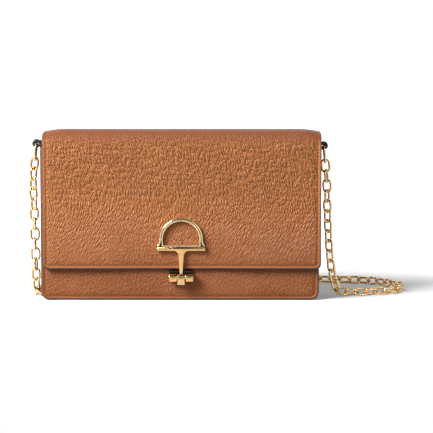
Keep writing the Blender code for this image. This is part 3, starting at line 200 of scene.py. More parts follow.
def make_world():
    """A white studio. What polished metal sees of it is white at the sides, straight
    behind and above that, with a dark patch in front, a dark ceiling over the front half
    and a dark flag at each back quarter."""
    world = bpy.data.worlds.new("studio")
    bpy.context.scene.world = world
    world.use_nodes = True
    tree = world.node_tree
    tree.nodes.clear()
    way = node(tree, "ShaderNodeTexCoord").outputs["Generated"]
    split = node(tree, "ShaderNodeSeparateXYZ", {"Vector": way})
    path = node(tree, "ShaderNodeLightPath")
    deep, high = split.outputs["Y"], split.outputs["Z"]
    past_patch = remap(tree, deep, -0.98, -0.91, 0.06, 1.0)
    before_flags = remap(tree, deep, 0.12, 0.42, 1.0, 0.30)
    below_ceiling = remap(tree, high, 0.42, 0.60, 1.0, 0.08)
    sides = maths(tree, "MULTIPLY", past_patch, before_flags)
    sides = maths(tree, "MULTIPLY", sides, below_ceiling)
    behind = remap(tree, deep, 0.82, 0.95, 0.0, 0.8)
    above = maths(
        tree, "MULTIPLY", remap(tree, high, 0.35, 0.60, 0.0, 0.80), remap(tree, deep, 0.02, 0.18)
    )
    glossy = maths(tree, "MAXIMUM", maths(tree, "MAXIMUM", sides, behind), above)
    sky = node(
        tree,
        "ShaderNodeMix",
        {
            "Factor": path.outputs["Is Glossy Ray"],
            "A": 0.24,
            "B": glossy,
        },
        data_type="FLOAT",
    )
    strength = node(
        tree,
        "ShaderNodeMix",
        {
            "Factor": path.outputs["Is Camera Ray"],
            "A": sky.outputs[0],
            "B": 1.0,
        },
        data_type="FLOAT",
    )
    light = node(
        tree,
        "ShaderNodeBackground",
        {"Color": (1.0, 1.0, 1.0, 1.0), "Strength": strength.outputs[0]},
    )
    node(tree, "ShaderNodeOutputWorld", {"Surface": light.outputs[0]})


def softbox(name, place, target, size, power, colour=(1.0, 1.0, 1.0)):
    lamp = bpy.data.lights.new(name, "AREA")
    lamp.shape = "RECTANGLE"
    lamp.size, lamp.size_y = size
    lamp.energy = power
    lamp.color = colour
    obj = bpy.data.objects.new(name, lamp)
    obj.location = place
    obj.rotation_euler = (Vector(target) - Vector(place)).to_track_quat("-Z", "Y").to_euler()
    bpy.context.scene.collection.objects.link(obj)


make_camera()
make_stage()
make_world()
softbox("key", (-0.75, -0.5625, 0.7625), (0.0, 0.0, 0.05), (0.525, 0.525), 27.3)
softbox("fill", (1.3, -1.9, 1.0), (0.0, 0.0, 0.05), (0.9, 0.9), 4.0)


# Materials


def new_material(name, **values):
    """A material, its node tree, and its Principled shader with these values."""
    material = bpy.data.materials.new(name)
    material.use_nodes = True
    tree = material.node_tree
    shader = tree.nodes["Principled BSDF"]
    for key, value in values.items():
        socket = shader.inputs[key.replace("_", " ")]
        socket.default_value = (*value, 1.0) if isinstance(value, tuple) else value
    return material, tree, shader


def blend_colours(tree, factor, one, other, kind="MIX"):
    made = node(tree, "ShaderNodeMix", data_type="RGBA", blend_type=kind)
    for index, value in ((0, factor), (6, one), (7, other)):
        if isinstance(value, bpy.types.NodeSocket):
            tree.links.new(value, made.inputs[index])
        elif index == 0:
            made.inputs[index].default_value = value
        else:
            made.inputs[index].default_value = (*value, 1.0)
    return made.outputs[2]


def rest_place(tree):
    """Where the surface is at rest, so that grain doesn't slide when a piece bends."""
    return node(tree, "ShaderNodeAttribute", attribute_name="place").outputs["Vector"]


def bump(tree, height, distance, strength=1.0, before=None):
    inputs = {"Height": height, "Distance": distance, "Strength": strength}
    if before:
        inputs["Normal"] = before
    return node(tree, "ShaderNodeBump", inputs).outputs["Normal"]


FOLD_LOW = 104.5 * MM
FOLD_HIGH = 112.0 * MM
GRAIN_CALM_AND_SHADE_LOW = 24.0 * MM
PAINTED_SHADE_TOP = 76.0 * MM
GRAIN_HIGH = 82.0 * MM
GRAIN_TURN = 65.0 * MM
GRAIN_TURN_EASE = 12.0 * MM
GRAIN_LEAN = 0.48


def leather(name, light, deep, roughness, depth, cells=640.0, long=0.62):
    """Grained leather: domed pebbles with creases between them, longer than wide and
    turned a little from place to place, over a fine pored skin. Its colour carries painted
    shade in the creases, towards the bottom, over the top fold and along the stitches."""
    material, tree, shader = new_material(name, Specular_IOR_Level=0.30)
    place = rest_place(tree)
    drift = node(
        tree,
        "ShaderNodeTexNoise",
        {"Vector": place, "Scale": 26.0, "Detail": 1.5, "Roughness": 0.5},
    )
    drifted = node(
        tree,
        "ShaderNodeVectorMath",
        {0: drift.outputs["Color"], 1: (0.011, 0.011, 0.011)},
        operation="MULTIPLY",
    )
    wobble = node(tree, "ShaderNodeTexNoise", {"Vector": place, "Scale": 420.0, "Detail": 2.0})
    wobbled = node(
        tree,
        "ShaderNodeVectorMath",
        {0: wobble.outputs["Color"], 1: (0.0004, 0.0004, 0.0004)},
        operation="MULTIPLY",
    )
    moved = node(
        tree, "ShaderNodeVectorMath", {0: place, 1: drifted.outputs[0]}, operation="ADD"
    )
    moved = node(
        tree,
        "ShaderNodeVectorMath",
        {0: moved.outputs[0], 1: wobbled.outputs[0]},
        operation="ADD",
    )
    # The grain leans one way above this height and the other way below it
    up = node(tree, "ShaderNodeSeparateXYZ", {"Vector": place}).outputs["Z"]
    past_turn = maths(tree, "POWER", maths(tree, "SUBTRACT", up, GRAIN_TURN), 2.0)
    past_turn = maths(tree, "SQRT", maths(tree, "ADD", past_turn, GRAIN_TURN_EASE**2))
    shear = maths(tree, "MULTIPLY", past_turn, GRAIN_LEAN)
    shear = node(tree, "ShaderNodeCombineXYZ", {"X": shear})
    leaning = node(
        tree, "ShaderNodeVectorMath", {0: moved.outputs[0], 1: shear.outputs[0]}, operation="ADD"
    )
    grain_place = node(
        tree,
        "ShaderNodeVectorMath",
        {0: leaning.outputs[0], 1: (1.0, 1.0, long)},
        operation="MULTIPLY",
    ).outputs[0]
    domes = node(
        tree,
        "ShaderNodeTexVoronoi",
        {"Vector": grain_place, "Scale": cells, "Smoothness": 0.35, "Randomness": 0.85},
        feature="SMOOTH_F1",
    ).outputs["Distance"]
    creases = node(
        tree,
        "ShaderNodeTexVoronoi",
        {"Vector": grain_place, "Scale": cells, "Randomness": 0.85},
        feature="DISTANCE_TO_EDGE",
    ).outputs["Distance"]
    crease = remap(tree, creases, 0.0, 0.16)
    dome = remap(tree, domes, 0.05, 0.75, 1.0, 0.0)
    pores = node(
        tree, "ShaderNodeTexNoise", {"Vector": place, "Scale": 3600.0, "Detail": 3.0}
    ).outputs["Fac"]
    waves = node(
        tree, "ShaderNodeTexNoise", {"Vector": place, "Scale": 150.0, "Detail": 3.0}
    ).outputs["Fac"]
    height = maths(tree, "MULTIPLY", dome, 0.6)
    height = maths(tree, "ADD", height, maths(tree, "MULTIPLY", crease, 0.4))
    height = maths(tree, "ADD", height, maths(tree, "MULTIPLY", waves, 0.45))
    # Calmer grain low down, and grain pulled smoother over the fold at the top, where the colour is
    # painted darker as shade
    fold = remap(tree, up, FOLD_LOW, FOLD_HIGH)
    calm = remap(tree, up, GRAIN_CALM_AND_SHADE_LOW, GRAIN_HIGH, 0.46, 1.0)
    skin = bump(tree, pores, depth * 0.10, 0.5)
    pull = maths(tree, "SUBTRACT", 1.0, maths(tree, "MULTIPLY", fold, 0.55))
    # The seam's margin is pressed smooth outside a line of painted shade along the stitches
    edge = node(tree, "ShaderNodeAttribute", attribute_name="edge").outputs["Fac"]
    margin = remap(tree, edge, 2.2, 4.6, 0.30, 1.0)
    strength = maths(tree, "MULTIPLY", maths(tree, "MULTIPLY", pull, calm), margin)
    tree.links.new(bump(tree, height, depth, strength, skin), shader.inputs["Normal"])

    blotches = node(
        tree, "ShaderNodeTexNoise", {"Vector": place, "Scale": 34.0, "Detail": 4.0}
    ).outputs["Fac"]
    # Painted shade: the colour is darker in the hollows between the pebbles, less so in the seam's
    # margin
    shade = maths(tree, "MULTIPLY", crease, remap(tree, dome, 0.1, 0.7, 0.55, 1.0))
    hollow = maths(tree, "MULTIPLY", maths(tree, "SUBTRACT", 1.0, shade), 0.26)
    hollow = maths(tree, "MULTIPLY", hollow, margin)
    # Painted shade: the colour darkens towards the bottom, and more below about the flap's lower
    # edge, as painted shadow of the flap
    painted_shade_low_down = remap(tree, up, GRAIN_CALM_AND_SHADE_LOW, PAINTED_SHADE_TOP, 0.62, 0.0)
    painted_shade_low_down = maths(tree, "ADD", painted_shade_low_down, remap(tree, up, 16 * MM, 24 * MM, 0.30, 0.0))
    colour = blend_colours(tree, maths(tree, "ADD", hollow, painted_shade_low_down), light, deep)
    tint = tuple(channel * 0.86 for channel in light)
    colour = blend_colours(tree, remap(tree, blotches, 0.42, 0.68, 0.0, 0.25), colour, tint)
    # Rubbed a little darker by the edge, and painted shade along the groove that the stitches press
    rubbed_and_groove_shade = remap(tree, edge, 0.6, 1.8, 0.45, 0.0)
    from_line = maths(tree, "ABSOLUTE", maths(tree, "SUBTRACT", edge, 2.7))
    rubbed_and_groove_shade = maths(tree, "ADD", rubbed_and_groove_shade, remap(tree, from_line, 0.15, 0.95, 0.42, 0.0))
    colour = blend_colours(tree, rubbed_and_groove_shade, colour, deep)
    # Painted shade: the leather's colour is darkened over the top fold
    colour = blend_colours(tree, fold, colour, tuple(channel * 0.84 for channel in deep))
    tree.links.new(colour, shader.inputs["Base Color"])
    rough = remap(tree, shade, 0.0, 1.0, roughness + 0.14, roughness)
    rough = maths(tree, "ADD", rough, remap(tree, blotches, 0.3, 0.7, -0.03, 0.05))
    tree.links.new(rough, shader.inputs["Roughness"])
    return material


def edge_paint(name, colour, roughness):
    """Painted leather edge: a smooth coat over faint layers of the leather below."""
    material, tree, shader = new_material(name, Specular_IOR_Level=0.5)
    place = rest_place(tree)
    layers = node(
        tree,
        "ShaderNodeTexNoise",
        {"Vector": place, "Scale": 260.0, "Detail": 4.0, "Roughness": 0.6},
    ).outputs["Fac"]
    worn = tuple(min(1.0, channel * 2.4 + 0.012) for channel in colour)
    tree.links.new(
        blend_colours(tree, remap(tree, layers, 0.5, 0.8, 0.0, 0.7), colour, worn),
        shader.inputs["Base Color"],
    )
    tree.links.new(
        remap(tree, layers, 0.3, 0.7, roughness - 0.06, roughness + 0.1),
        shader.inputs["Roughness"],
    )
    tree.links.new(bump(tree, layers, 0.00008), shader.inputs["Normal"])
    return material


def polished(name, colour, deep, roughness):
    """Plated metal with a faint haze, tiny scratches, and a warmer tone in places."""
    material, tree, shader = new_material(name, Metallic=1.0)
    place = node(tree, "ShaderNodeTexCoord").outputs["Object"]
    haze = node(
        tree, "ShaderNodeTexNoise", {"Vector": place, "Scale": 210.0, "Detail": 4.0}
    ).outputs["Fac"]
    stretched = node(
        tree,
        "ShaderNodeVectorMath",
        {0: place, 1: (1.0, 1.0, 0.12)},
        operation="MULTIPLY",
    ).outputs[0]
    scratches = node(
        tree,
        "ShaderNodeTexNoise",
        {"Vector": stretched, "Scale": 5200.0, "Detail": 2.0},
    ).outputs["Fac"]
    tree.links.new(
        blend_colours(tree, remap(tree, haze, 0.4, 0.72, 0.0, 0.6), colour, deep),
        shader.inputs["Base Color"],
    )
    rough = remap(tree, haze, 0.3, 0.7, roughness - 0.03, roughness + 0.06)
    rough = maths(tree, "ADD", rough, remap(tree, scratches, 0.62, 0.8, 0.0, 0.08))
    tree.links.new(rough, shader.inputs["Roughness"])
    tree.links.new(bump(tree, scratches, 0.000004, 0.6), shader.inputs["Normal"])
    return material


def thread(name, colour):
    """Waxed thread: fine plies across its length."""
    material, tree, shader = new_material(name, Specular_IOR_Level=0.4)
    place = rest_place(tree)
    plies = node(
        tree,
        "ShaderNodeTexNoise",
        {"Vector": place, "Scale": 3000.0, "Detail": 2.0},
    ).outputs["Fac"]
    dark = tuple(channel * 0.55 for channel in colour)
    tree.links.new(
        blend_colours(tree, remap(tree, plies, 0.35, 0.65), dark, colour),
        shader.inputs["Base Color"],
    )
    tree.links.new(remap(tree, plies, 0.3, 0.7, 0.6, 0.42), shader.inputs["Roughness"])
    tree.links.new(bump(tree, plies, 0.00006), shader.inputs["Normal"])
    return material


def woven(name, colour):
    """A herringbone tape."""
    material, tree, shader = new_material(name, Specular_IOR_Level=0.3)
    place = rest_place(tree)
    ribs = []
    for turn in (0.8, -0.8):
        turned = node(
            tree,
            "ShaderNodeMapping",
            {"Vector": place, "Rotation": (0.0, turn, turn)},
        ).outputs[0]
        ribs.append(
            node(
                tree,
                "ShaderNodeTexWave",
                {"Vector": turned, "Scale": 620.0, "Distortion": 0.6},
            ).outputs["Fac"]
        )
    weave = maths(tree, "MULTIPLY", *ribs)
    deep = tuple(channel * 0.5 for channel in colour)
    tree.links.new(
        blend_colours(tree, remap(tree, weave, 0.05, 0.6), deep, colour),
        shader.inputs["Base Color"],
    )
    tree.links.new(remap(tree, weave, 0.0, 0.6, 0.9, 0.72), shader.inputs["Roughness"])
    tree.links.new(bump(tree, weave, 0.00015), shader.inputs["Normal"])
    return material


TAN = leather(
    "tan_leather", (0.500, 0.184, 0.061), (0.265, 0.076, 0.018), 0.33, 0.00108, 820.0, 0.36
)
TAN_SIDE = leather(
    "tan_gusset_leather", (0.420, 0.155, 0.054), (0.250, 0.080, 0.024), 0.46, 0.00022
)
LINING = leather(
    "lining_leather", (0.385, 0.170, 0.078), (0.260, 0.100, 0.040), 0.55, 0.00012, 1500.0
)
FLESH = leather(
    "flesh_side", (0.330, 0.150, 0.075), (0.230, 0.100, 0.050), 0.75, 0.00008, 2400.0
)
PAINT = edge_paint("painted_edge", (0.020, 0.016, 0.019), 0.36)
GOLD = polished("polished_gold", (0.850, 0.560, 0.245), (0.760, 0.450, 0.155), 0.10)
# Painted highlight: lighter copies of the same polished gold for the bow and the chain, so that
# they look more brightly lit
GOLD_PAINTED_LIGHTER_BOW = polished("gold_painted_lighter_bow", (0.900, 0.730, 0.440), (0.820, 0.600, 0.300), 0.09)
GOLD_PAINTED_LIGHTER_CHAIN = polished("gold_painted_lighter_chain", (0.970, 0.700, 0.370), (0.900, 0.600, 0.270), 0.06)
# The button's gold is rough like satin, and its colour is painted dark as shade that keeps it dim
GOLD_PAINTED_DARK_BUTTON = polished("satin_gold_painted_dark", (0.340, 0.200, 0.120), (0.280, 0.150, 0.080), 0.50)
# Painted shade: the keeper plate is coloured near black, a dark sheet for the dark band between the
# flap's edge and the barrels
PLATE_PAINTED_SHADE = polished("black_nickel", (0.040, 0.037, 0.036), (0.020, 0.018, 0.018), 0.20)
# Painted shade: the thread's own tone is painted darker, standing in for the shade in and around
# the stitch holes
THREAD = thread("thread_painted_dark", (0.110, 0.038, 0.015))
TAPE = woven("zip_tape", (0.200, 0.090, 0.045))


# Meshes


def new_object(name, vertices, faces, materials, slots=None, **attributes):
    """A smooth mesh in the row frame, with its rest places and other point values."""
    mesh = bpy.data.meshes.new(name)
    vertices = np.asarray(vertices, float) + np.array(SHIFT)
    mesh.from_pydata(vertices.tolist(), [], faces)
    for material in materials:
        mesh.materials.append(material)
    if slots is not None:
        mesh.polygons.foreach_set("material_index", np.asarray(slots, np.int32))
    keep_attributes(mesh, **attributes)
    mesh.shade_smooth()
    obj = bpy.data.objects.new(name, mesh)
    bpy.context.scene.collection.objects.link(obj)
    bm = bmesh.new()
    bm.from_mesh(mesh)
    bmesh.ops.recalc_face_normals(bm, faces=bm.faces)
    bm.to_mesh(mesh)
    bm.free()
    return obj


def keep_attributes(mesh, **attributes):
    count = len(mesh.vertices)
    place = np.zeros(count * 3, np.float32)
    mesh.vertices.foreach_get("co", place)
    mesh.attributes.new("place", "FLOAT_VECTOR", "POINT").data.foreach_set("vector", place)
    for key, values in attributes.items():
        layer = mesh.attributes.new(key, "FLOAT", "POINT")
        layer.data.foreach_set("value", np.asarray(values, np.float32).ravel())
    if "edge" not in attributes:
        layer = mesh.attributes.new("edge", "FLOAT", "POINT")
        layer.data.foreach_set("value", np.full(count, 20.0, np.float32))


def smoothstep(value):
    value = np.clip(value, 0.0, 1.0)
    return value * value * (3 - 2 * value)


def normals_of(grid):
    """The normals of a grid of points."""
    across = np.gradient(grid, axis=1)
    along = np.gradient(grid, axis=0)
    normal = np.cross(across, along)
    return normal / np.maximum(np.linalg.norm(normal, axis=2, keepdims=True), 1e-12)


def grid_edge(grid):
    """How far each point of a grid is from the grid's nearest side, along its lines."""
    found = np.full(grid.shape[:2], np.inf)
    for axis in (0, 1):
        step = np.linalg.norm(np.diff(grid, axis=axis), axis=2)
        run = np.cumsum(step, axis=axis)
        run = np.concatenate([np.zeros_like(run.take([0], axis)), run], axis=axis)
        whole = run.take([-1], axis)
        found = np.minimum(found, np.minimum(run, whole - run))
    return found


def shell(name, outer, normal, thick, edge, materials, paint=0.0, lift=0.0):
    """A closed leather sheet with round edges. outer is a grid of points on its face,
    thick how thick it is at each, edge how far each is from the outline, and paint how
    far the edge paint reaches in. Materials are the face, the back and the paint."""
    rows, columns = outer.shape[:2]
    thick = np.broadcast_to(thick, (rows, columns))
    paint = np.broadcast_to(paint, (rows, columns))
    half = thick / 2
    rounding = np.minimum(half, 0.7 * MM)
    away = np.clip(edge / rounding, 0.0, 1.0)
    share = np.sqrt(np.maximum(0.0, 1 - (1 - away) ** 2))
    middle = outer - normal * half[..., None]
    face = middle + normal * (half * share + lift)[..., None]
    back = middle - normal * (half * share)[..., None]
    border = np.zeros((rows, columns), bool)
    border[0], border[-1], border[:, 0], border[:, -1] = True, True, True, True
    index = np.arange(rows * columns).reshape(rows, columns)
    back_index = np.full((rows, columns), -1)
    inside = ~border
    back_index[inside] = rows * columns + np.arange(inside.sum())
    back_index[border] = index[border]
    points = np.concatenate([face.reshape(-1, 3), back[inside]])
    distance = np.concatenate([edge.reshape(-1), edge[inside]]) / MM
    faces, slots = [], []
    for i in range(rows - 1):
        for j in range(columns - 1):
            near = max(edge[i, j], edge[i + 1, j], edge[i, j + 1], edge[i + 1, j + 1])
            painted = near <= paint[i, j]
            for side, table in ((0, index), (1, back_index)):
                quad = [table[i, j], table[i, j + 1], table[i + 1, j + 1], table[i + 1, j]]
                faces.append([int(k) for k in (quad if side == 0 else quad[::-1])])
                slots.append(2 if painted else side)
    return new_object(name, points, faces, materials, slots, edge=distance)


def stations(length, fine_start=True, fine_end=True, spacing=2.4 * MM):
    """Places along a side, close together by the edges that have a seam."""
    near = np.array([0, 0.07, 0.25, 0.5, 0.8, 1.2, 1.7, 2.1, 2.5, 2.9, 3.4, 4.2, 5.4, 7.0, 9.0])
    near = near * MM
    start = near if fine_start else near[:1]
    end = length - near[::-1] if fine_end else np.array([length])
    count = max(2, int(round((end[0] - start[-1]) / spacing)))
    middle = np.linspace(start[-1], end[0], count + 1)[1:-1]
    return np.concatenate([start, middle, end])


def corner_rise(inset, radius):
    """How far the outline is above the bottom, at an inset from the side."""
    reach = np.clip(radius - inset, 0.0, radius)
    return radius - np.sqrt(np.maximum(radius**2 - reach**2, 0.0))


def outline_distance(inset, from_end, radius):
    """How far inside a rounded outline a point is."""
    one, other = radius - inset, radius - from_end
    in_corner = (one > 0) & (other > 0)
    return np.where(in_corner, radius - np.hypot(one, other), np.minimum(inset, from_end))


def raised_past(run, rise, reach=20 * MM):
    """Moves a place along a column up with its rounded end, less and less further in."""
    return run + rise * np.clip(1 - run / reach, 0.0, 1.0) ** 2


# The sewn edge of a leather panel, from its outline inwards: how much thicker or thinner
# the leather is than in CAD, in millimetres, at distances in millimetres
SEWN_EDGE = (
    (0.0, -0.10),
    (1.0, -0.02),
    (1.6, -0.04),
    (2.1, -0.30),
    (2.5, -0.52),
    (2.9, -0.44),
    (3.6, -0.14),
    (5.0, 0.06),
    (8.0, 0.17),
    (12.0, 0.20),
)


def sewn_relief(edge):
    distances, reliefs = zip(*SEWN_EDGE)
    return np.interp(edge / MM, distances, reliefs) * MM


def soft_waves(points, size, height, seed):
    """Slow unevenness of a leather face."""
    flat = points.reshape(-1, 3)
    offset = Vector((seed * 7.3, seed * 3.1, seed * 5.7))
    values = [noise.noise(Vector(p) / size + offset) for p in flat]
    return np.array(values).reshape(points.shape[:-1]) * height


# The one piece of leather that makes the back and the flap


PROFILE_PARTS = (
    ("line", (BACK_Y, 0.0), (BACK_Y, BAG_TOP - BACK_FOLD)),
    ("arc", (BACK_Y - BACK_FOLD, BAG_TOP - BACK_FOLD), BACK_FOLD, 0.0),
    ("line", (BACK_Y - BACK_FOLD, BAG_TOP), (FLAP_Y + FRONT_FOLD, BAG_TOP)),
    ("arc", (FLAP_Y + FRONT_FOLD, BAG_TOP - FRONT_FOLD), FRONT_FOLD, math.pi / 2),
    ("line", (FLAP_Y, BAG_TOP - FRONT_FOLD), (FLAP_Y, FLAP_BOTTOM)),
)


def part_length(part):
    if part[0] == "line":
        return math.dist(part[1], part[2])
    return part[2] * math.pi / 2


PROFILE_LENGTH = sum(part_length(part) for part in PROFILE_PARTS)
FLAP_START = BAG_TOP - BACK_FOLD


def profile_at(v):
    """The (y, z) point and outward normal at a length v along the back, up and over."""
    for part in PROFILE_PARTS:
        length = part_length(part)
        if v <= length or part is PROFILE_PARTS[-1]:
            break
        v -= length
    if part[0] == "line":
        (y0, z0), (y1, z1) = part[1], part[2]
        way = ((y1 - y0) / length, (z1 - z0) / length)
        return y0 + way[0] * v, z0 + way[1] * v, way[1], -way[0]
    angle = part[3] + v / part[2]
    c, s = math.cos(angle), math.sin(angle)
    return part[1][0] + part[2] * c, part[1][1] + part[2] * s, c, s


FLAP_LIFT = 0.9 * MM
FLAP_LIFT_REACH = 30 * MM


def flap_lift(x, from_bottom):
    """How far the flap's lower edge stands off, away from the clasp that holds it down."""
    aside = smoothstep((np.abs(x - CLASP_OFFSET) - 20 * MM) / (35 * MM))
    return FLAP_LIFT * aside * smoothstep(1 - from_bottom / FLAP_LIFT_REACH)


def outer_leather_points(x_share, inset, run):
    """Points and normals on the back and flap: x_share is the side, -1 to 1, inset how
    far it is from that side's edge, and run the length up from the back's bottom."""
    run = np.asarray(run, float)
    found = np.array([profile_at(v) for v in run.ravel()]).reshape(*run.shape, 4)
    y, z, ny, nz = np.moveaxis(found, -1, 0)
    over = smoothstep((run - 96 * MM) / (34 * MM))
    half = HALF_WIDTH + (FLAP_HALF - HALF_WIDTH) * over
    x = x_share * (half - inset) + FLAP_OFFSET * over
    droop = DROOP * np.clip(1 - inset / DROOP_REACH, 0.0, 1.0) ** 1.4
    high = np.clip((z - 88 * MM) / (BAG_TOP - 88 * MM), 0, 1) ** 2
    lift = flap_lift(x, PROFILE_LENGTH - run)
    points = np.stack([x, y - lift, z - droop * high], -1)
    return points, np.stack([np.zeros_like(ny), ny, nz], -1)


def outer_distance(inset, run):
    back = outline_distance(inset, run, BODY_CORNER)
    front = outline_distance(inset, PROFILE_LENGTH - run, FLAP_CORNER)
    return np.minimum(back, front)


def make_outer_leather():
    across = stations(2 * HALF_WIDTH)
    along = stations(PROFILE_LENGTH, spacing=1.9 * MM)
    side = np.where(across < HALF_WIDTH, -1.0, 1.0)
    inset = np.minimum(across, 2 * HALF_WIDTH - across)
    inset = np.broadcast_to(inset, (len(along), len(across)))
    side = np.broadcast_to(side, inset.shape)
    run = np.broadcast_to(along[:, None], inset.shape)
    run = raised_past(run, corner_rise(inset, BODY_CORNER))
    back_run = PROFILE_LENGTH - run
    run = PROFILE_LENGTH - raised_past(back_run, corner_rise(inset, FLAP_CORNER))
    points, normal = outer_leather_points(side, inset, run)
    edge = np.maximum(outer_distance(inset, run), 0.0)
    edge[0], edge[-1], edge[:, 0], edge[:, -1] = 0.0, 0.0, 0.0, 0.0
    over_top = smoothstep((points[..., 2] - (BAG_TOP - 12 * MM)) / (8 * MM))
    relief = sewn_relief(edge) * (1 - 0.6 * over_top)
    waves = soft_waves(points, 26 * MM, 0.10 * MM, 1) * smoothstep(edge / (9 * MM))
    raised = points + normal * (relief + waves)[..., None]
    true_normal = normals_of(raised)
    flip = np.sign((true_normal * normal).sum(-1, keepdims=True))
    thick = LEATHER + relief + waves - 0.05 * MM
    piece = shell(
        "back_and_flap_leather",
        raised,
        true_normal * flip,
        thick,
        edge,
        [TAN, FLESH, PAINT],
        np.where(np.minimum(run, PROFILE_LENGTH - run) < 3 * MM, 1.2 * MM, 0.5 * MM),
    )
    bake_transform(piece)
    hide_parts("back_panel", "flap_shell")


# The front panel


def make_front_leather():
    across = stations(2 * HALF_WIDTH)
    up = stations(FRONT_TOP, fine_end=False)
    inset = np.broadcast_to(np.minimum(across, 2 * HALF_WIDTH - across), (len(up), len(across)))
    side = np.where(across < HALF_WIDTH, -1.0, 1.0)
    z = raised_past(np.broadcast_to(up[:, None], inset.shape), corner_rise(inset, BODY_CORNER))
    points = np.stack([side * (HALF_WIDTH - inset), np.full_like(z, FRONT_Y), z], -1)
    edge = np.maximum(outline_distance(inset, z, BODY_CORNER), 0.0)
    edge = np.minimum(edge, np.maximum(FRONT_TOP - z, 0.0))
    edge[0], edge[-1], edge[:, 0], edge[:, -1] = 0.0, 0.0, 0.0, 0.0
    relief = np.minimum(sewn_relief(edge), 0.12 * MM)
    waves = soft_waves(points, 24 * MM, 0.06 * MM, 2) * smoothstep(edge / (9 * MM))
    raised = points + np.array([0.0, -1.0, 0.0]) * (relief + waves)[..., None]
    normal = normals_of(raised)
    normal = normal * np.sign(-normal[..., 1:2])
    piece = shell(
        "front_leather",
        raised,
        normal,
        LEATHER + relief + waves - 0.05 * MM,
        edge,
        [TAN, FLESH, PAINT],
        np.where(z < 3 * MM, 1.2 * MM, 0.8 * MM),
    )
    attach(piece, "bag")
    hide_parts("front_panel")


# Stitching


def stitch_mesh(places, tangents, normals, length, width, height):
    """One flat bead of thread for each place."""
    rings, sides = 5, 6
    points, faces = [], []
    for place, along, up in zip(places, tangents, normals):
        along = along / np.linalg.norm(along)
        across = np.cross(up, along)
        start = len(points)
        for i in range(rings):
            share = i / (rings - 1) * 2 - 1
            size = math.sqrt(max(0.0, 1 - share**4)) * 0.9 + 0.1
            sink = height * 0.9 * share**4
            for k in range(sides):
                a = 2 * math.pi * k / sides
                points.append(
                    place
                    + along * (share * length / 2)
                    + across * (width / 2 * size * math.cos(a))
                    + up * (height / 2 * size * math.sin(a) - sink)
                )
        for i in range(rings - 1):
            for k in range(sides):
                j = (k + 1) % sides
                a, b = start + i * sides, start + (i + 1) * sides
                faces.append([a + k, a + j, b + j, b + k])
        faces.append([start + k for k in range(sides)][::-1])
        faces.append([start + (rings - 1) * sides + k for k in range(sides)])
    return points, faces


def along_line(line, pitch):
    """Even places along a line of points, and the way the line runs at each."""
    line = np.asarray(line, float)
    run = np.concatenate([[0.0], np.cumsum(np.linalg.norm(np.diff(line, axis=0), axis=1))])
    count = int(run[-1] / pitch)
    at = (np.arange(count) + 0.5) * run[-1] / count
    places = np.stack([np.interp(at, run, line[:, k]) for k in range(line.shape[1])], -1)
    ahead = np.stack(
        [np.interp(at + 0.2 * MM, run, line[:, k]) for k in range(line.shape[1])], -1
    )
    behind = np.stack(
        [np.interp(at - 0.2 * MM, run, line[:, k]) for k in range(line.shape[1])], -1
    )
    return places, ahead - behind


def rounded_u(half, bottom, top, radius, steps=10):
    """A U in two dimensions: down one side, round the corners, along, and up."""
    line = [(-half, top)]
    for i in range(steps + 1):
        a = math.pi + math.pi / 2 * i / steps
        line.append((-half + radius + radius * math.cos(a), bottom + radius + radius * math.sin(a)))
    for i in range(steps + 1):
        a = -math.pi / 2 + math.pi / 2 * i / steps
        line.append((half - radius + radius * math.cos(a), bottom + radius + radius * math.sin(a)))
    line.append((half, top))
    return line


STITCH_PITCH = 2.2 * MM
STITCH_LENGTH = 1.5 * MM
STITCH_SINK = -0.42 * MM


def make_outer_stitches():
    half = HALF_WIDTH - STITCH_INSET
    middle = 120 * MM
    back = rounded_u(half, STITCH_INSET, middle, BODY_CORNER - STITCH_INSET)
    front = rounded_u(
        half, STITCH_INSET, PROFILE_LENGTH - middle, FLAP_CORNER - STITCH_INSET + 0.4 * MM
    )
    front = [(x, PROFILE_LENGTH - v) for x, v in reversed(front)]
    flat, way = along_line(back + front, STITCH_PITCH)

    def on_leather(flat):
        side = np.where(flat[:, 0] < 0, -1.0, 1.0)
        inset = HALF_WIDTH - np.abs(flat[:, 0])
        points, normal = outer_leather_points(side, inset, flat[:, 1])
        return points + normal * STITCH_SINK, normal

    places, normals = on_leather(flat)
    ahead, _ = on_leather(flat + way / 4)
    behind, _ = on_leather(flat - way / 4)
    points, faces = stitch_mesh(
        places, ahead - behind, normals, STITCH_LENGTH, 0.62 * MM, 0.42 * MM
    )
    piece = new_object("back_and_flap_stitching", points, faces, [THREAD])
    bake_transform(piece)


def make_front_stitches():
    half = HALF_WIDTH - STITCH_INSET
    line = rounded_u(half, STITCH_INSET, FRONT_TOP - STITCH_INSET, BODY_CORNER - STITCH_INSET)
    flat, way = along_line(line, STITCH_PITCH)
    places = np.stack(
        [flat[:, 0], np.full(len(flat), FRONT_Y - STITCH_SINK), flat[:, 1]], -1
    )
    ways = np.stack([way[:, 0], np.zeros(len(flat)), way[:, 1]], -1)
    normals = np.tile([0.0, -1.0, 0.0], (len(flat), 1))
    points, faces = stitch_mesh(places, ways, normals, STITCH_LENGTH, 0.62 * MM, 0.42 * MM)
    piece = new_object("front_stitching", points, faces, [THREAD])
    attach(piece, "bag")


make_outer_leather()
make_front_leather()
make_outer_stitches()
make_front_stitches()


# Gussets


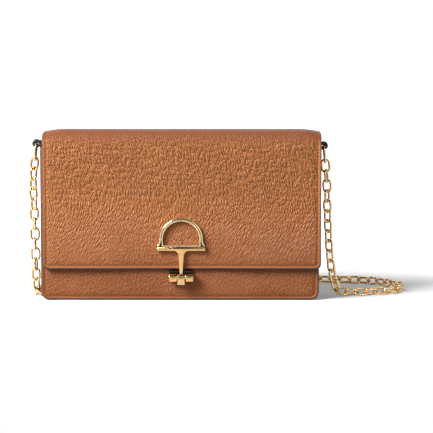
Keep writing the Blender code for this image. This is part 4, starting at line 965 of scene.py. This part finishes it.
def rim_point(inset, share_along, height):
    """A point of the U that runs inset inside the body's sides and bottom: share_along
    is 0 at the top left and 1 at the top right."""
    radius = max(BODY_CORNER - inset, 0.6 * MM)
    half = HALF_WIDTH - inset
    side = height - inset - radius
    bend = radius * math.pi / 2
    flat = 2 * (half - radius)
    # Lengths of the outermost U, so that lines across the strip stay straight
    outer_side = height - BODY_CORNER
    outer_bend = BODY_CORNER * math.pi / 2
    outer_flat = 2 * (HALF_WIDTH - BODY_CORNER)
    s = share_along * (2 * outer_side + 2 * outer_bend + outer_flat)
    if s < outer_side:
        return -half, height - side * s / outer_side
    s -= outer_side
    if s < outer_bend:
        a = math.pi + s / outer_bend * math.pi / 2
        return -half + radius + radius * math.cos(a), inset + radius + radius * math.sin(a)
    s -= outer_bend
    if s < outer_flat:
        return -half + radius + flat * s / outer_flat, inset
    s -= outer_flat
    if s < outer_bend:
        a = -math.pi / 2 + s / outer_bend * math.pi / 2
        return half - radius + radius * math.cos(a), inset + radius + radius * math.sin(a)
    s -= outer_bend
    return half, inset + radius + side * min(s / outer_side, 1.0)


def make_gusset(name, node_name, y_one, y_other, fold):
    """A strip with a flange by each neighbour and a soft fold between them that deepens
    up the sides."""
    one, other = y_one + GUSSET / 2, y_other - GUSSET / 2
    bend = 1.3 * MM
    section = [(one, 0.0, 0.0), (one, 0.4 * MM, 0.0), (one, 1.2 * MM, 0.0)]
    section.append((one, SEAM - bend, 0.0))
    for i in range(1, 5):
        a = math.pi / 2 * i / 4
        section.append(
            (one + bend * (1 - math.cos(a)), SEAM - bend * (1 - math.sin(a)), 0.0)
        )
    inner_one, inner_other = one + bend, other - bend
    for i in range(1, 12):
        share = i / 12
        folded = 0.5 - 0.5 * math.cos(2 * math.pi * share)
        section.append((inner_one + (inner_other - inner_one) * share, SEAM, fold * folded))
    mirrored = [(one + other - y, inset, 0.0) for y, inset, _ in section[:8]]
    section += mirrored[::-1]
    length = 2 * GUSSET_TOP + 2 * HALF_WIDTH
    shares = np.concatenate(
        [[0.0, 0.0008, 0.002, 0.004], np.linspace(0.012, 0.988, 150), [0.996, 0.998, 0.9992, 1.0]]
    )
    grid = np.zeros((len(shares), len(section), 3))
    for i, share in enumerate(shares):
        up = np.clip((abs(share - 0.5) * length - HALF_WIDTH) / (0.75 * GUSSET_TOP), 0, 1)
        deep = float(smoothstep(up))
        for j, (y, inset, folded) in enumerate(section):
            x, z = rim_point(inset + folded * deep, share, GUSSET_TOP)
            grid[i, j] = (x, y, z)
    normal = normals_of(grid)
    centre = grid - np.array([0.0, 0.0, 50 * MM])
    facing = np.sign((normal[:, 9] * centre[:, 9]).sum(-1).mean())
    normal = normal * facing
    outer = grid + normal * GUSSET / 2
    edge = grid_edge(grid)
    piece = shell(name, outer, normal, GUSSET, edge, [TAN_SIDE, LINING, PAINT], 0.85 * MM)
    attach(piece, "bag")
    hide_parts(node_name)


make_gusset("front_gusset_leather", "front_gusset", -14.4 * MM, -5.8 * MM, 3.4 * MM)
make_gusset("rear_gusset_leather", "rear_gusset", 5.8 * MM, 14.4 * MM, 3.4 * MM)
make_gusset("pocket_gusset_leather", "pocket_gusset", -4.3 * MM, 4.3 * MM, 0.0)


# Linings, pocket walls, tapes and card slots: their CAD shape with soft edges, a slightly
# uneven face and a leather or woven finish


def soften(node_name, new_name, material, body, wave, rounding, step=7.0 * MM):
    source = NODES[node_name].data
    bm = bmesh.new()
    bm.from_mesh(source)
    bmesh.ops.remove_doubles(bm, verts=bm.verts, dist=0.002 * MM)
    bmesh.ops.dissolve_limit(
        bm, angle_limit=math.radians(1.0), verts=bm.verts, edges=bm.edges
    )
    sharp = [
        e for e in bm.edges if len(e.link_faces) == 2 and e.calc_face_angle(0.0) > 0.6
    ]
    bmesh.ops.bevel(
        bm,
        geom=sharp,
        offset=rounding,
        segments=2,
        profile=0.6,
        affect="EDGES",
        clamp_overlap=True,
    )
    low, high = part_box(node_name)
    for axis in (0, 2):
        way = Vector((0.0, 0.0, 0.0))
        way[axis] = 1.0
        count = int((high[axis] - low[axis]) / step)
        for i in range(1, count):
            place = Vector((0.0, 0.0, 0.0))
            place[axis] = low[axis] + (high[axis] - low[axis]) * i / count
            geometry = bm.verts[:] + bm.edges[:] + bm.faces[:]
            bmesh.ops.bisect_plane(bm, geom=geometry, plane_co=place, plane_no=way)
    for vertex in bm.verts:
        p = vertex.co
        lump = noise.noise(Vector((p.x, p.y * 0.5, p.z)) / (22 * MM))
        lift = 0.0
        if body == "flap" and p.y < 0:
            lift = float(flap_lift(p.x, p.z - FLAP_BOTTOM))
        vertex.co = p + Vector((0.0, lump * wave - lift, 0.0))
    bmesh.ops.recalc_face_normals(bm, faces=bm.faces)
    mesh = bpy.data.meshes.new(new_name)
    bm.to_mesh(mesh)
    bm.free()
    mesh.materials.clear()
    mesh.materials.append(material)
    mesh.shade_smooth()
    mesh.set_sharp_from_angle(angle=math.radians(50))
    keep_attributes(mesh)
    piece = bpy.data.objects.new(new_name, mesh)
    bpy.context.scene.collection.objects.link(piece)
    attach(piece, body)
    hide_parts(node_name)
    return piece


for lining_name, lining_body in (
    ("front_lining", "bag"),
    ("back_lining", "bag"),
    ("zip_pocket_front", "bag"),
    ("zip_pocket_back", "bag"),
    ("flap_lining", "flap"),
):
    soften(
        lining_name, f"{lining_name}_leather", LINING, lining_body, 0.1 * MM, 0.2 * MM
    )
for slot_number in range(1, 7):
    slot_name = f"card_slot_{slot_number}"
    soften(slot_name, f"{slot_name}_leather", LINING, "bag", 0.07 * MM, 0.2 * MM)
for tape_name in ("zip_tape_front", "zip_tape_back"):
    soften(tape_name, f"{tape_name}_woven", TAPE, "bag", 0.05 * MM, 0.12 * MM)


# Strap loops


def make_strap_loop(side, side_name):
    """A narrow strap with round painted edges, folded tight round the end link, whose
    rounded end bends it across its width."""
    strap, round_strap, hole = 1.2 * MM, 2.0 * MM, 0.95 * MM
    away = GUSSET / 2 + 0.3 * MM + strap / 2
    web = HALF_WIDTH - SEAM
    inner, outer = web - away, web + away
    z = GUSSET_TOP + (8.9 if side < 0 else 7.4) * MM
    middle, neck = hole + round_strap / 2, round_strap / 2 + 0.03 * MM
    pinch = 180 - math.degrees(math.asin(neck / middle))
    top, bottom, tail = z + middle, z - neck, GUSSET_TOP - 7.8 * MM
    ring = arc((STRAP_HOLE_X, z), middle, pinch, -pinch, 30)
    line = [(inner, tail), (inner, tail + 0.3 * MM)]
    line += [(inner, tail + (top - 2.2 * MM - tail) * k / 6) for k in range(1, 6)]
    line += arc((inner + 2.2 * MM, top - 2.2 * MM), 2.2 * MM, 180, 90, 8)
    line += between(line[-1], ring[0], 8)
    line += ring
    line += between(ring[-1], (outer + 1.2 * MM, bottom), 8)
    line += arc((outer + 1.2 * MM, bottom - 1.2 * MM), 1.2 * MM, 90, 180, 6)
    line += [(outer, bottom + (tail - bottom) * k / 6) for k in range(2, 6)]
    line += [(outer, tail + 0.3 * MM), (outer, tail)]
    line = softened(line, 3)
    widths = np.array([-1.9, -1.82, -1.6, -1.2, 0.0, 1.2, 1.6, 1.82, 1.9]) * MM
    grid = np.array([[(side * x, y, h) for y in widths] for x, h in line])
    round_link = smoothstep((np.array([x for x, _ in line])[:, None] - web) / (4 * MM))
    bend = (END_LINK_WIDTH - END_LINK_WIRE) / 2
    grid[..., 2] -= (bend - np.sqrt(bend**2 - widths**2)) * round_link
    normal = normals_of(grid)
    out = np.sign((normal[:, 4] * (grid[:, 4] - grid[:, 4].mean(0))).sum())
    normal = normal * out
    thick = strap + (round_strap - strap) * round_link
    piece = shell(
        f"{side_name}_strap",
        grid + normal * thick[..., None] / 2,
        normal,
        thick,
        grid_edge(grid),
        [PAINT, PAINT, PAINT],
    )
    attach(piece, "bag")
    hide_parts(f"{side_name}_strap_loop")


def between(one, other, count):
    """Even points between two, without the two."""
    return [
        tuple(a + (b - a) * k / count for a, b in zip(one, other)) for k in range(1, count)
    ]


def softened(line, rounds):
    """A line with its turns eased and its ends kept."""
    line = np.array(line)
    for _ in range(rounds):
        line[1:-1] = (line[:-2] + 2 * line[1:-1] + line[2:]) / 4
    return line


def arc(centre, radius, start, end, count):
    return [
        (
            centre[0] + radius * math.cos(math.radians(start + (end - start) * i / count)),
            centre[1] + radius * math.sin(math.radians(start + (end - start) * i / count)),
        )
        for i in range(count + 1)
    ]


make_strap_loop(-1, "left")
make_strap_loop(1, "right")


# Chain: the route and the links repeat those of the part's source

LINK_WIRE = 1.65 * MM
LINK_WIDTH = 7.0 * MM
LINK_PITCH = 6.95 * MM
LINK_BITE = 0.1 * MM
RUN_GAP = 0.25 * MM
END_LINK_LENGTH = 13.5 * MM
LIE = 2.8 * MM
ROUTE_STEPS = 24
LEFT_HOLE_Z = 0.1064
RIGHT_HOLE_Z = 0.1049
LEFT_DROP_SHARES = (
    (-0.1012, 0.0003, 0.763),
    (-0.1007, 0.0003, 0.572),
    (-0.1002, 0.0003, 0.381),
    (-0.0999, 0.0003, 0.210),
    (-0.0997, 0.0003, 0.100),
    (-0.0995, 0.0010, 0.040),
)
ROUTE_LEFT = (
    (-0.0995, 0.0065, LIE),
    (-0.0985, 0.0150, LIE),
    (-0.0950, 0.0225, LIE),
)
ROUTE_RIGHT = (
    (0.0900, 0.0686, LIE),
    (0.0978, 0.0676, LIE),
    (0.1065, 0.0653, LIE),
    (0.1166, 0.0641, LIE),
    (0.1266, 0.0629, LIE),
    (0.1364, 0.0589, LIE),
    (0.1438, 0.0532, LIE),
    (0.1496, 0.0465, LIE),
    (0.1533, 0.0388, LIE),
    (0.1545, 0.0307, LIE),
    (0.1528, 0.0227, LIE),
    (0.1486, 0.0156, LIE),
    (0.1419, 0.0107, LIE),
    (0.1347, 0.0079, LIE),
    (0.1277, 0.0059, LIE),
    (0.1201, 0.0047, LIE),
    (0.1131, 0.0043, LIE),
)
RIGHT_DROP_SHARES = (
    (0.1087, 0.0043, 0.039),
    (0.1069, 0.0040, 0.080),
    (0.1056, 0.0036, 0.127),
    (0.1044, 0.0032, 0.186),
    (0.1033, 0.0028, 0.273),
    (0.1024, 0.0023, 0.380),
    (0.1017, 0.0016, 0.506),
    (0.1012, 0.0010, 0.641),
    (0.1009, 0.0005, 0.756),
)
HANK_ROWS = 3
HANK_SPACING = 0.0200
HANK_FIRST_ROW = 0.0280
HANK_HALF_LENGTH = 0.0810
LINK_ROLLS = (
    (0, 30),
    (2, 45),
    (4, 50),
    (7, 88),
    (9, 90),
    (13, 135),
    (126, 135),
    (131, 165),
)
RUN_LENGTHS = (17, 17, 17, 16, 16, 16, 18, 15)
CHAIN_NODES = (
    "chain_left_drop",
    "chain_hank_1",
    "chain_hank_2",
    "chain_hank_3",
    "chain_hank_4",
    "chain_hank_5",
    "chain_floor_loop",
    "chain_right_drop",
)


def smooth_route(points):
    ends = [2 * points[0] - points[1], *points, 2 * points[-1] - points[-2]]
    fine = []
    for i in range(1, len(ends) - 2):
        a, b, c, d = ends[i - 1 : i + 3]
        for k in range(ROUTE_STEPS):
            t = k / ROUTE_STEPS
            fine.append(
                b
                + (c - a) * (t / 2)
                + (2 * a - 5 * b + 4 * c - d) * (t * t / 2)
                + (3 * (b - c) + d - a) * (t**3 / 2)
            )
    fine.append(ends[-2])
    return np.array(fine)


def hank_route():
    points = []
    for row in range(HANK_ROWS):
        way = 1 if row % 2 == 0 else -1
        y = HANK_FIRST_ROW + HANK_SPACING * row
        for i in range(9):
            points.append((-way * HANK_HALF_LENGTH * (1 - i / 4), y, LIE))
        if row == HANK_ROWS - 1:
            break
        centre = (way * HANK_HALF_LENGTH, y + HANK_SPACING / 2)
        for x, v in arc(centre, HANK_SPACING / 2, -90, 90, 4)[1:-1]:
            points.append((centre[0] + way * (x - centre[0]), v, LIE))
    return points


def end_joint(side, hole_z, towards):
    top = Vector((side * STRAP_HOLE_X, 0.0, hole_z))
    along = (Vector(towards) - top).normalized()
    length = END_LINK_LENGTH - END_LINK_WIRE
    hook = (END_LINK_WIRE + LINK_WIRE) / 2 + RUN_GAP
    return top, along, top + along * (length - hook + (LINK_WIRE - LINK_BITE) / 2)


def chain_spans(line, pitch):
    """The two joints of each link: a pitch apart in a straight line along the route."""
    run = np.concatenate([[0.0], np.cumsum(np.linalg.norm(np.diff(line, axis=0), axis=1))])
    way = (line[-1] - line[-2]) / np.linalg.norm(line[-1] - line[-2])

    def at(s):
        place = np.array([np.interp(min(s, run[-1]), run, line[:, k]) for k in range(3)])
        return place + way * max(0.0, s - run[-1])

    spans, s = [], 0.0
    for count in RUN_LENGTHS:
        for _ in range(count):
            here, low, high = at(s), s, s + 2 * pitch
            for _ in range(26):
                middle = (low + high) / 2
                if np.linalg.norm(at(middle) - here) < pitch:
                    low = middle
                else:
                    high = middle
            spans.append((here, at(high)))
            s = high
        s -= LINK_BITE + RUN_GAP
    return spans, s + LINK_BITE + RUN_GAP - run[-1]


def link_mesh(points, faces, middle, along, across, length, width, wire):
    """One oval link of wire that is a little squared by polishing."""
    normal = along.cross(across)
    ends, sides = 9, 12
    radius = width / 2
    straight = length / 2 - radius
    line = []
    for end in (1, -1):
        for i in range(ends):
            a = -math.pi / 2 + math.pi * i / (ends - 1)
            line.append(
                Vector((end * (straight + radius * math.cos(a)), end * radius * math.sin(a)))
            )
        line.append(Vector((0.0, end * radius)))
    start = len(points)
    for i, here in enumerate(line):
        before = (here - line[i - 1]).normalized()
        after = (line[(i + 1) % len(line)] - here).normalized()
        outward = Vector((before.y + after.y, -before.x - after.x)).normalized()
        for k in range(sides):
            a = 2 * math.pi * (k + 0.5) / sides
            c, s = math.cos(a), math.sin(a)
            squared = wire / 2 * (abs(c) ** 2.4 + abs(s) ** 2.4) ** (-1 / 2.4)
            flat = here + outward * (squared * c)
            place = middle + along * flat.x + across * flat.y + normal * (squared * s)
            points.append(tuple(place))
    count = len(line)
    for i in range(count):
        for k in range(sides):
            a, b = start + i * sides, start + (i + 1) % count * sides
            j = (k + 1) % sides
            faces.append([a + k, b + k, b + j, a + j])


def make_chain():
    left_drop = [(x, y, share * LEFT_HOLE_Z) for x, y, share in LEFT_DROP_SHARES]
    right_drop = [(x, y, share * RIGHT_HOLE_Z) for x, y, share in RIGHT_DROP_SHARES]
    ends = []
    for side, hole_z, towards in (
        (-1, LEFT_HOLE_Z, left_drop[0]),
        (1, RIGHT_HOLE_Z, right_drop[-1]),
    ):
        ends.append(end_joint(side, hole_z, towards))
    route = [tuple(ends[0][2]), *left_drop, *ROUTE_LEFT, *hank_route()]
    route += [*ROUTE_RIGHT, *right_drop, tuple(ends[1][2])]
    line = smooth_route(np.array(route))
    low, high = LINK_PITCH * 0.97, LINK_PITCH * 1.03
    for _ in range(18):
        pitch = (low + high) / 2
        _, over = chain_spans(line, pitch)
        low, high = (low, pitch) if over > 0 else (pitch, high)
    spans, _ = chain_spans(line, pitch)
    way = Vector(spans[0][1] - spans[0][0]).normalized()
    across = (Vector((1.0, 0.0, 0.0)) - way * way.x).normalized()
    counts, degrees = zip(*LINK_ROLLS)
    points, faces = [], []
    for number, (start, end) in enumerate(spans):
        along = Vector(end - start).normalized()
        across.rotate(way.rotation_difference(along))
        way = along
        roll = float(np.interp(number, counts, degrees)) + 90 * (number % 2)
        link_mesh(
            points,
            faces,
            Vector((start + end) / 2),
            along,
            Matrix.Rotation(math.radians(roll), 3, along) @ across,
            pitch + LINK_WIRE - 0.04 * MM,
            LINK_WIDTH - LINK_WIRE,
            LINK_WIRE,
        )
    chain = new_object("chain", points, faces, [GOLD_PAINTED_LIGHTER_CHAIN])
    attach(chain, "bag")
    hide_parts(*CHAIN_NODES)

    for name, (top, along, _) in zip(("left_end_link", "right_end_link"), ends):
        points, faces = [], []
        length = END_LINK_LENGTH - END_LINK_WIRE
        link_mesh(
            points,
            faces,
            top + along * (length / 2),
            along,
            Vector((0.0, 1.0, 0.0)),
            length,
            END_LINK_WIDTH - END_LINK_WIRE,
            END_LINK_WIRE,
        )
        piece = new_object(f"{name}_polished", points, faces, [GOLD_PAINTED_LIGHTER_CHAIN])
        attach(piece, "bag")
        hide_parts(name)

    length = float(np.linalg.norm(np.diff(line, axis=0), axis=1).sum())


make_chain()


# Clasp


def filled(name, outlines, thickness, rounding):
    """Outlines of (x, z) points as a plate in the XZ plane with round edges, about y = 0."""
    curve = bpy.data.curves.new(name, "CURVE")
    curve.dimensions = "2D"
    curve.fill_mode = "BOTH"
    curve.extrude = thickness / 2 - rounding
    curve.bevel_depth = rounding
    curve.bevel_resolution = 4
    curve.offset = -rounding
    for outline in outlines:
        spline = curve.splines.new("POLY")
        spline.points.add(len(outline) - 1)
        for point, (x, z) in zip(spline.points, outline):
            point.co = (x, z, 0.0, 1.0)
        spline.use_cyclic_u = True
    obj = bpy.data.objects.new(name, curve)
    bpy.context.scene.collection.objects.link(obj)
    bpy.context.view_layer.update()
    graph = bpy.context.evaluated_depsgraph_get()
    mesh = bpy.data.meshes.new_from_object(obj.evaluated_get(graph))
    bpy.data.objects.remove(obj)
    bm = bmesh.new()
    bm.from_mesh(mesh)
    bmesh.ops.remove_doubles(bm, verts=bm.verts, dist=0.001 * MM)
    bmesh.ops.recalc_face_normals(bm, faces=bm.faces)
    bm.to_mesh(mesh)
    bm.free()
    mesh.transform(Matrix.Rotation(math.pi / 2, 4, "X"))
    return mesh


def joined(name, meshes, material, angle=40):
    """Several meshes as one object, in the row frame."""
    bm = bmesh.new()
    for mesh in meshes:
        bm.from_mesh(mesh)
    mesh = bpy.data.meshes.new(name)
    bm.to_mesh(mesh)
    bm.free()
    mesh.transform(Matrix.Translation(SHIFT))
    mesh.materials.clear()
    mesh.materials.append(material)
    mesh.shade_smooth()
    mesh.set_sharp_from_angle(angle=math.radians(angle))
    keep_attributes(mesh)
    obj = bpy.data.objects.new(name, mesh)
    bpy.context.scene.collection.objects.link(obj)
    return obj


BAR_TOP = 36.9 * MM
BAR_HEIGHT = 2.3 * MM
RAIL_HALF = 16.35 * MM
STEM_NECK = 4.2 * MM
STEM_FLARE = 4.0 * MM
STEM_FOOT = 1.9 * MM


def make_d_bow():
    low = BAR_TOP + 0.55 * MM
    radius, band, rail = 14.9 * MM, 2.6 * MM, 1.0 * MM
    cx, cz = CLASP_OFFSET, BAR_TOP + 20.3 * MM - radius
    outer = [(cx - RAIL_HALF, low), (cx + RAIL_HALF, low), (cx + RAIL_HALF, low + 1.1 * MM)]
    outer += foot(cx, low + 1.1 * MM, RAIL_HALF, radius, cz, 1)
    outer += arc((cx, cz), radius, 0, 180, 72)
    outer += foot(cx, low + 1.1 * MM, RAIL_HALF, radius, cz, -1)[::-1]
    outer.append((cx - RAIL_HALF, low + 1.1 * MM))
    inner = [(cx - radius + band, low + rail), (cx + radius - band, low + rail)]
    inner += arc((cx, cz), radius - band, 0, 180, 64)
    mesh = filled("d_bow_outline", [outer, inner], CLASP_DEPTH, 0.95 * MM)
    mesh.transform(Matrix.Translation((0.0, CLASP_Y - CLASP_DEPTH / 2, 0.0)))
    piece = joined("d_bow_polished", [mesh], GOLD_PAINTED_LIGHTER_BOW)
    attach(piece, "flap")
    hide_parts("d_bow")


def foot(cx, low, wide, narrow, high, side, steps=8):
    """The hollow curve from the rail's end up to the bow's leg."""
    return [
        (
            cx + side * (narrow + (wide - narrow) * (1 - math.sin(math.pi / 2 * i / steps))),
            low + (high - low) * (1 - math.cos(math.pi / 2 * i / steps)) * 0.9,
        )
        for i in range(1, steps + 1)
    ]


def stem_half(share):
    flare = STEM_FLARE * max(0.0, 1 - share / 0.18) ** 2
    return (STEM_FOOT + (1 - share) * (STEM_NECK - STEM_FOOT) + flare) / 2


def make_clasp_bar():
    cx, low = CLASP_OFFSET, BAR_TOP - BAR_HEIGHT
    foot_z = KEEPER_Z + 2.0 * MM
    shares = np.linspace(0.0, 1.0, 40) ** 1.6
    right = [(cx + stem_half(s), low - (low - foot_z) * s) for s in shares]
    left = [(cx - stem_half(s), z) for s, (_, z) in zip(shares, right)]
    outline = [(cx - RAIL_HALF, low), (cx - RAIL_HALF, BAR_TOP), (cx + RAIL_HALF, BAR_TOP)]
    outline += [(cx + RAIL_HALF, low), *right, *left[::-1]]
    bar = filled("clasp_bar_outline", [outline], CLASP_DEPTH, 0.45 * MM)
    for vertex in bar.vertices:
        vertex.co.y += CLASP_Y - CLASP_DEPTH / 2
    claw_side = [(-0.6 * MM, 2.7 * MM), (-2.6 * MM, 2.7 * MM)]
    claw_side += arc((-1.7 * MM, 0.8 * MM), 1.9 * MM, 105, 180, 6)
    claw_side += [(-3.6 * MM, -3.6 * MM), (-0.2 * MM, -3.6 * MM), (-0.2 * MM, 2.0 * MM)]
    claw = filled("claw_outline", [claw_side[::-1]], 4.8 * MM, 0.3 * MM)
    tab_side = [(-3.0 * MM, -4.5 * MM), (0.3 * MM, -4.5 * MM), (0.3 * MM, -2.9 * MM)]
    tab_side += [(-3.0 * MM, -2.9 * MM)]
    tab = filled("tab_outline", [tab_side], 5.3 * MM, 0.4 * MM)
    for mesh in (claw, tab):
        mesh.transform(Matrix.Rotation(math.pi / 2, 4, "Z"))
        mesh.transform(Matrix.Translation((cx, KEEPER_Y, KEEPER_Z)))
    piece = joined("clasp_bar_polished", [bar, claw, tab], GOLD)
    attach(piece, "flap")
    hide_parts("clasp_bar")


def spun(name, profile, place, direction, material, sides=56):
    """A turned piece: profile is (radius, height) along direction."""
    turn = Vector(direction).to_track_quat("Z", "Y").to_matrix()
    points, faces = [], []
    for radius, height in profile:
        for k in range(sides):
            a = 2 * math.pi * k / sides
            local = Vector((radius * math.cos(a), radius * math.sin(a), height))
            points.append(tuple(turn @ local + Vector(place)))
    for i in range(len(profile) - 1):
        for k in range(sides):
            j = (k + 1) % sides
            faces.append([i * sides + k, i * sides + j, (i + 1) * sides + j, (i + 1) * sides + k])
    faces.append(list(range(sides))[::-1])
    faces.append([(len(profile) - 1) * sides + k for k in range(sides)])
    piece = new_object(name, points, faces, [material])
    piece.data.set_sharp_from_angle(angle=math.radians(38))
    return piece


def make_barrels():
    radius, length, from_middle = 2.95 * MM, 5.25 * MM, 3.0 * MM
    profile = [
        (radius - 0.35 * MM, 0.0),
        (radius - 0.10 * MM, 0.10 * MM),
        (radius, 0.35 * MM),
        (radius, length * 0.70),
        (radius - 0.05 * MM, length * 0.74),
        (radius - 0.07 * MM, length * 0.77),
        (radius - 0.05 * MM, length * 0.80),
        (radius, length * 0.84),
        (radius, length - 0.35 * MM),
        (radius - 0.10 * MM, length - 0.10 * MM),
        (radius - 0.35 * MM, length),
    ]
    for name, side in (("barrel_left", -1), ("barrel_right", 1)):
        place = (CLASP_OFFSET + side * from_middle, KEEPER_Y, KEEPER_Z)
        piece = spun(f"{name}_polished", profile, place, (side, 0, 0), GOLD)
        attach(piece, "bag")
        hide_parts(name)


make_d_bow()
make_clasp_bar()
make_barrels()


# CAD nodes that stay, with fine rounded edges and a better finish


def dress(node_name, material, rounding=0.12 * MM):
    obj = NODES[node_name]
    if len(obj.data.materials):
        for i in range(len(obj.data.materials)):
            obj.data.materials[i] = material
    else:
        obj.data.materials.append(material)
    weld = obj.modifiers.new("weld", "WELD")
    weld.merge_threshold = 0.002 * MM
    round_edges = obj.modifiers.new("round_edges", "BEVEL")
    round_edges.width = rounding
    round_edges.segments = 2
    round_edges.limit_method = "ANGLE"
    round_edges.angle_limit = math.radians(35)
    round_edges.harden_normals = False


for metal_name in (
    "zip_teeth",
    "zip_stop_left",
    "zip_stop_right",
    "zip_slider",
    "zip_pull",
    "clasp_backplate",
    "clasp_screw_left",
    "clasp_screw_right",
    "keeper_pin",
    "keeper_backplate",
    "keeper_rivet_left",
    "keeper_rivet_right",
    "left_loop_rivet",
    "right_loop_rivet",
):
    dress(metal_name, GOLD)
# The button: a darkened copy of the gold, painted shade
dress("clasp_button", GOLD_PAINTED_DARK_BUTTON)
# The keeper plate's near-black colour is painted shade
dress("keeper_plate", PLATE_PAINTED_SHADE, 0.2 * MM)

scene = bpy.context.scene
scene.view_settings.view_transform = "Standard"
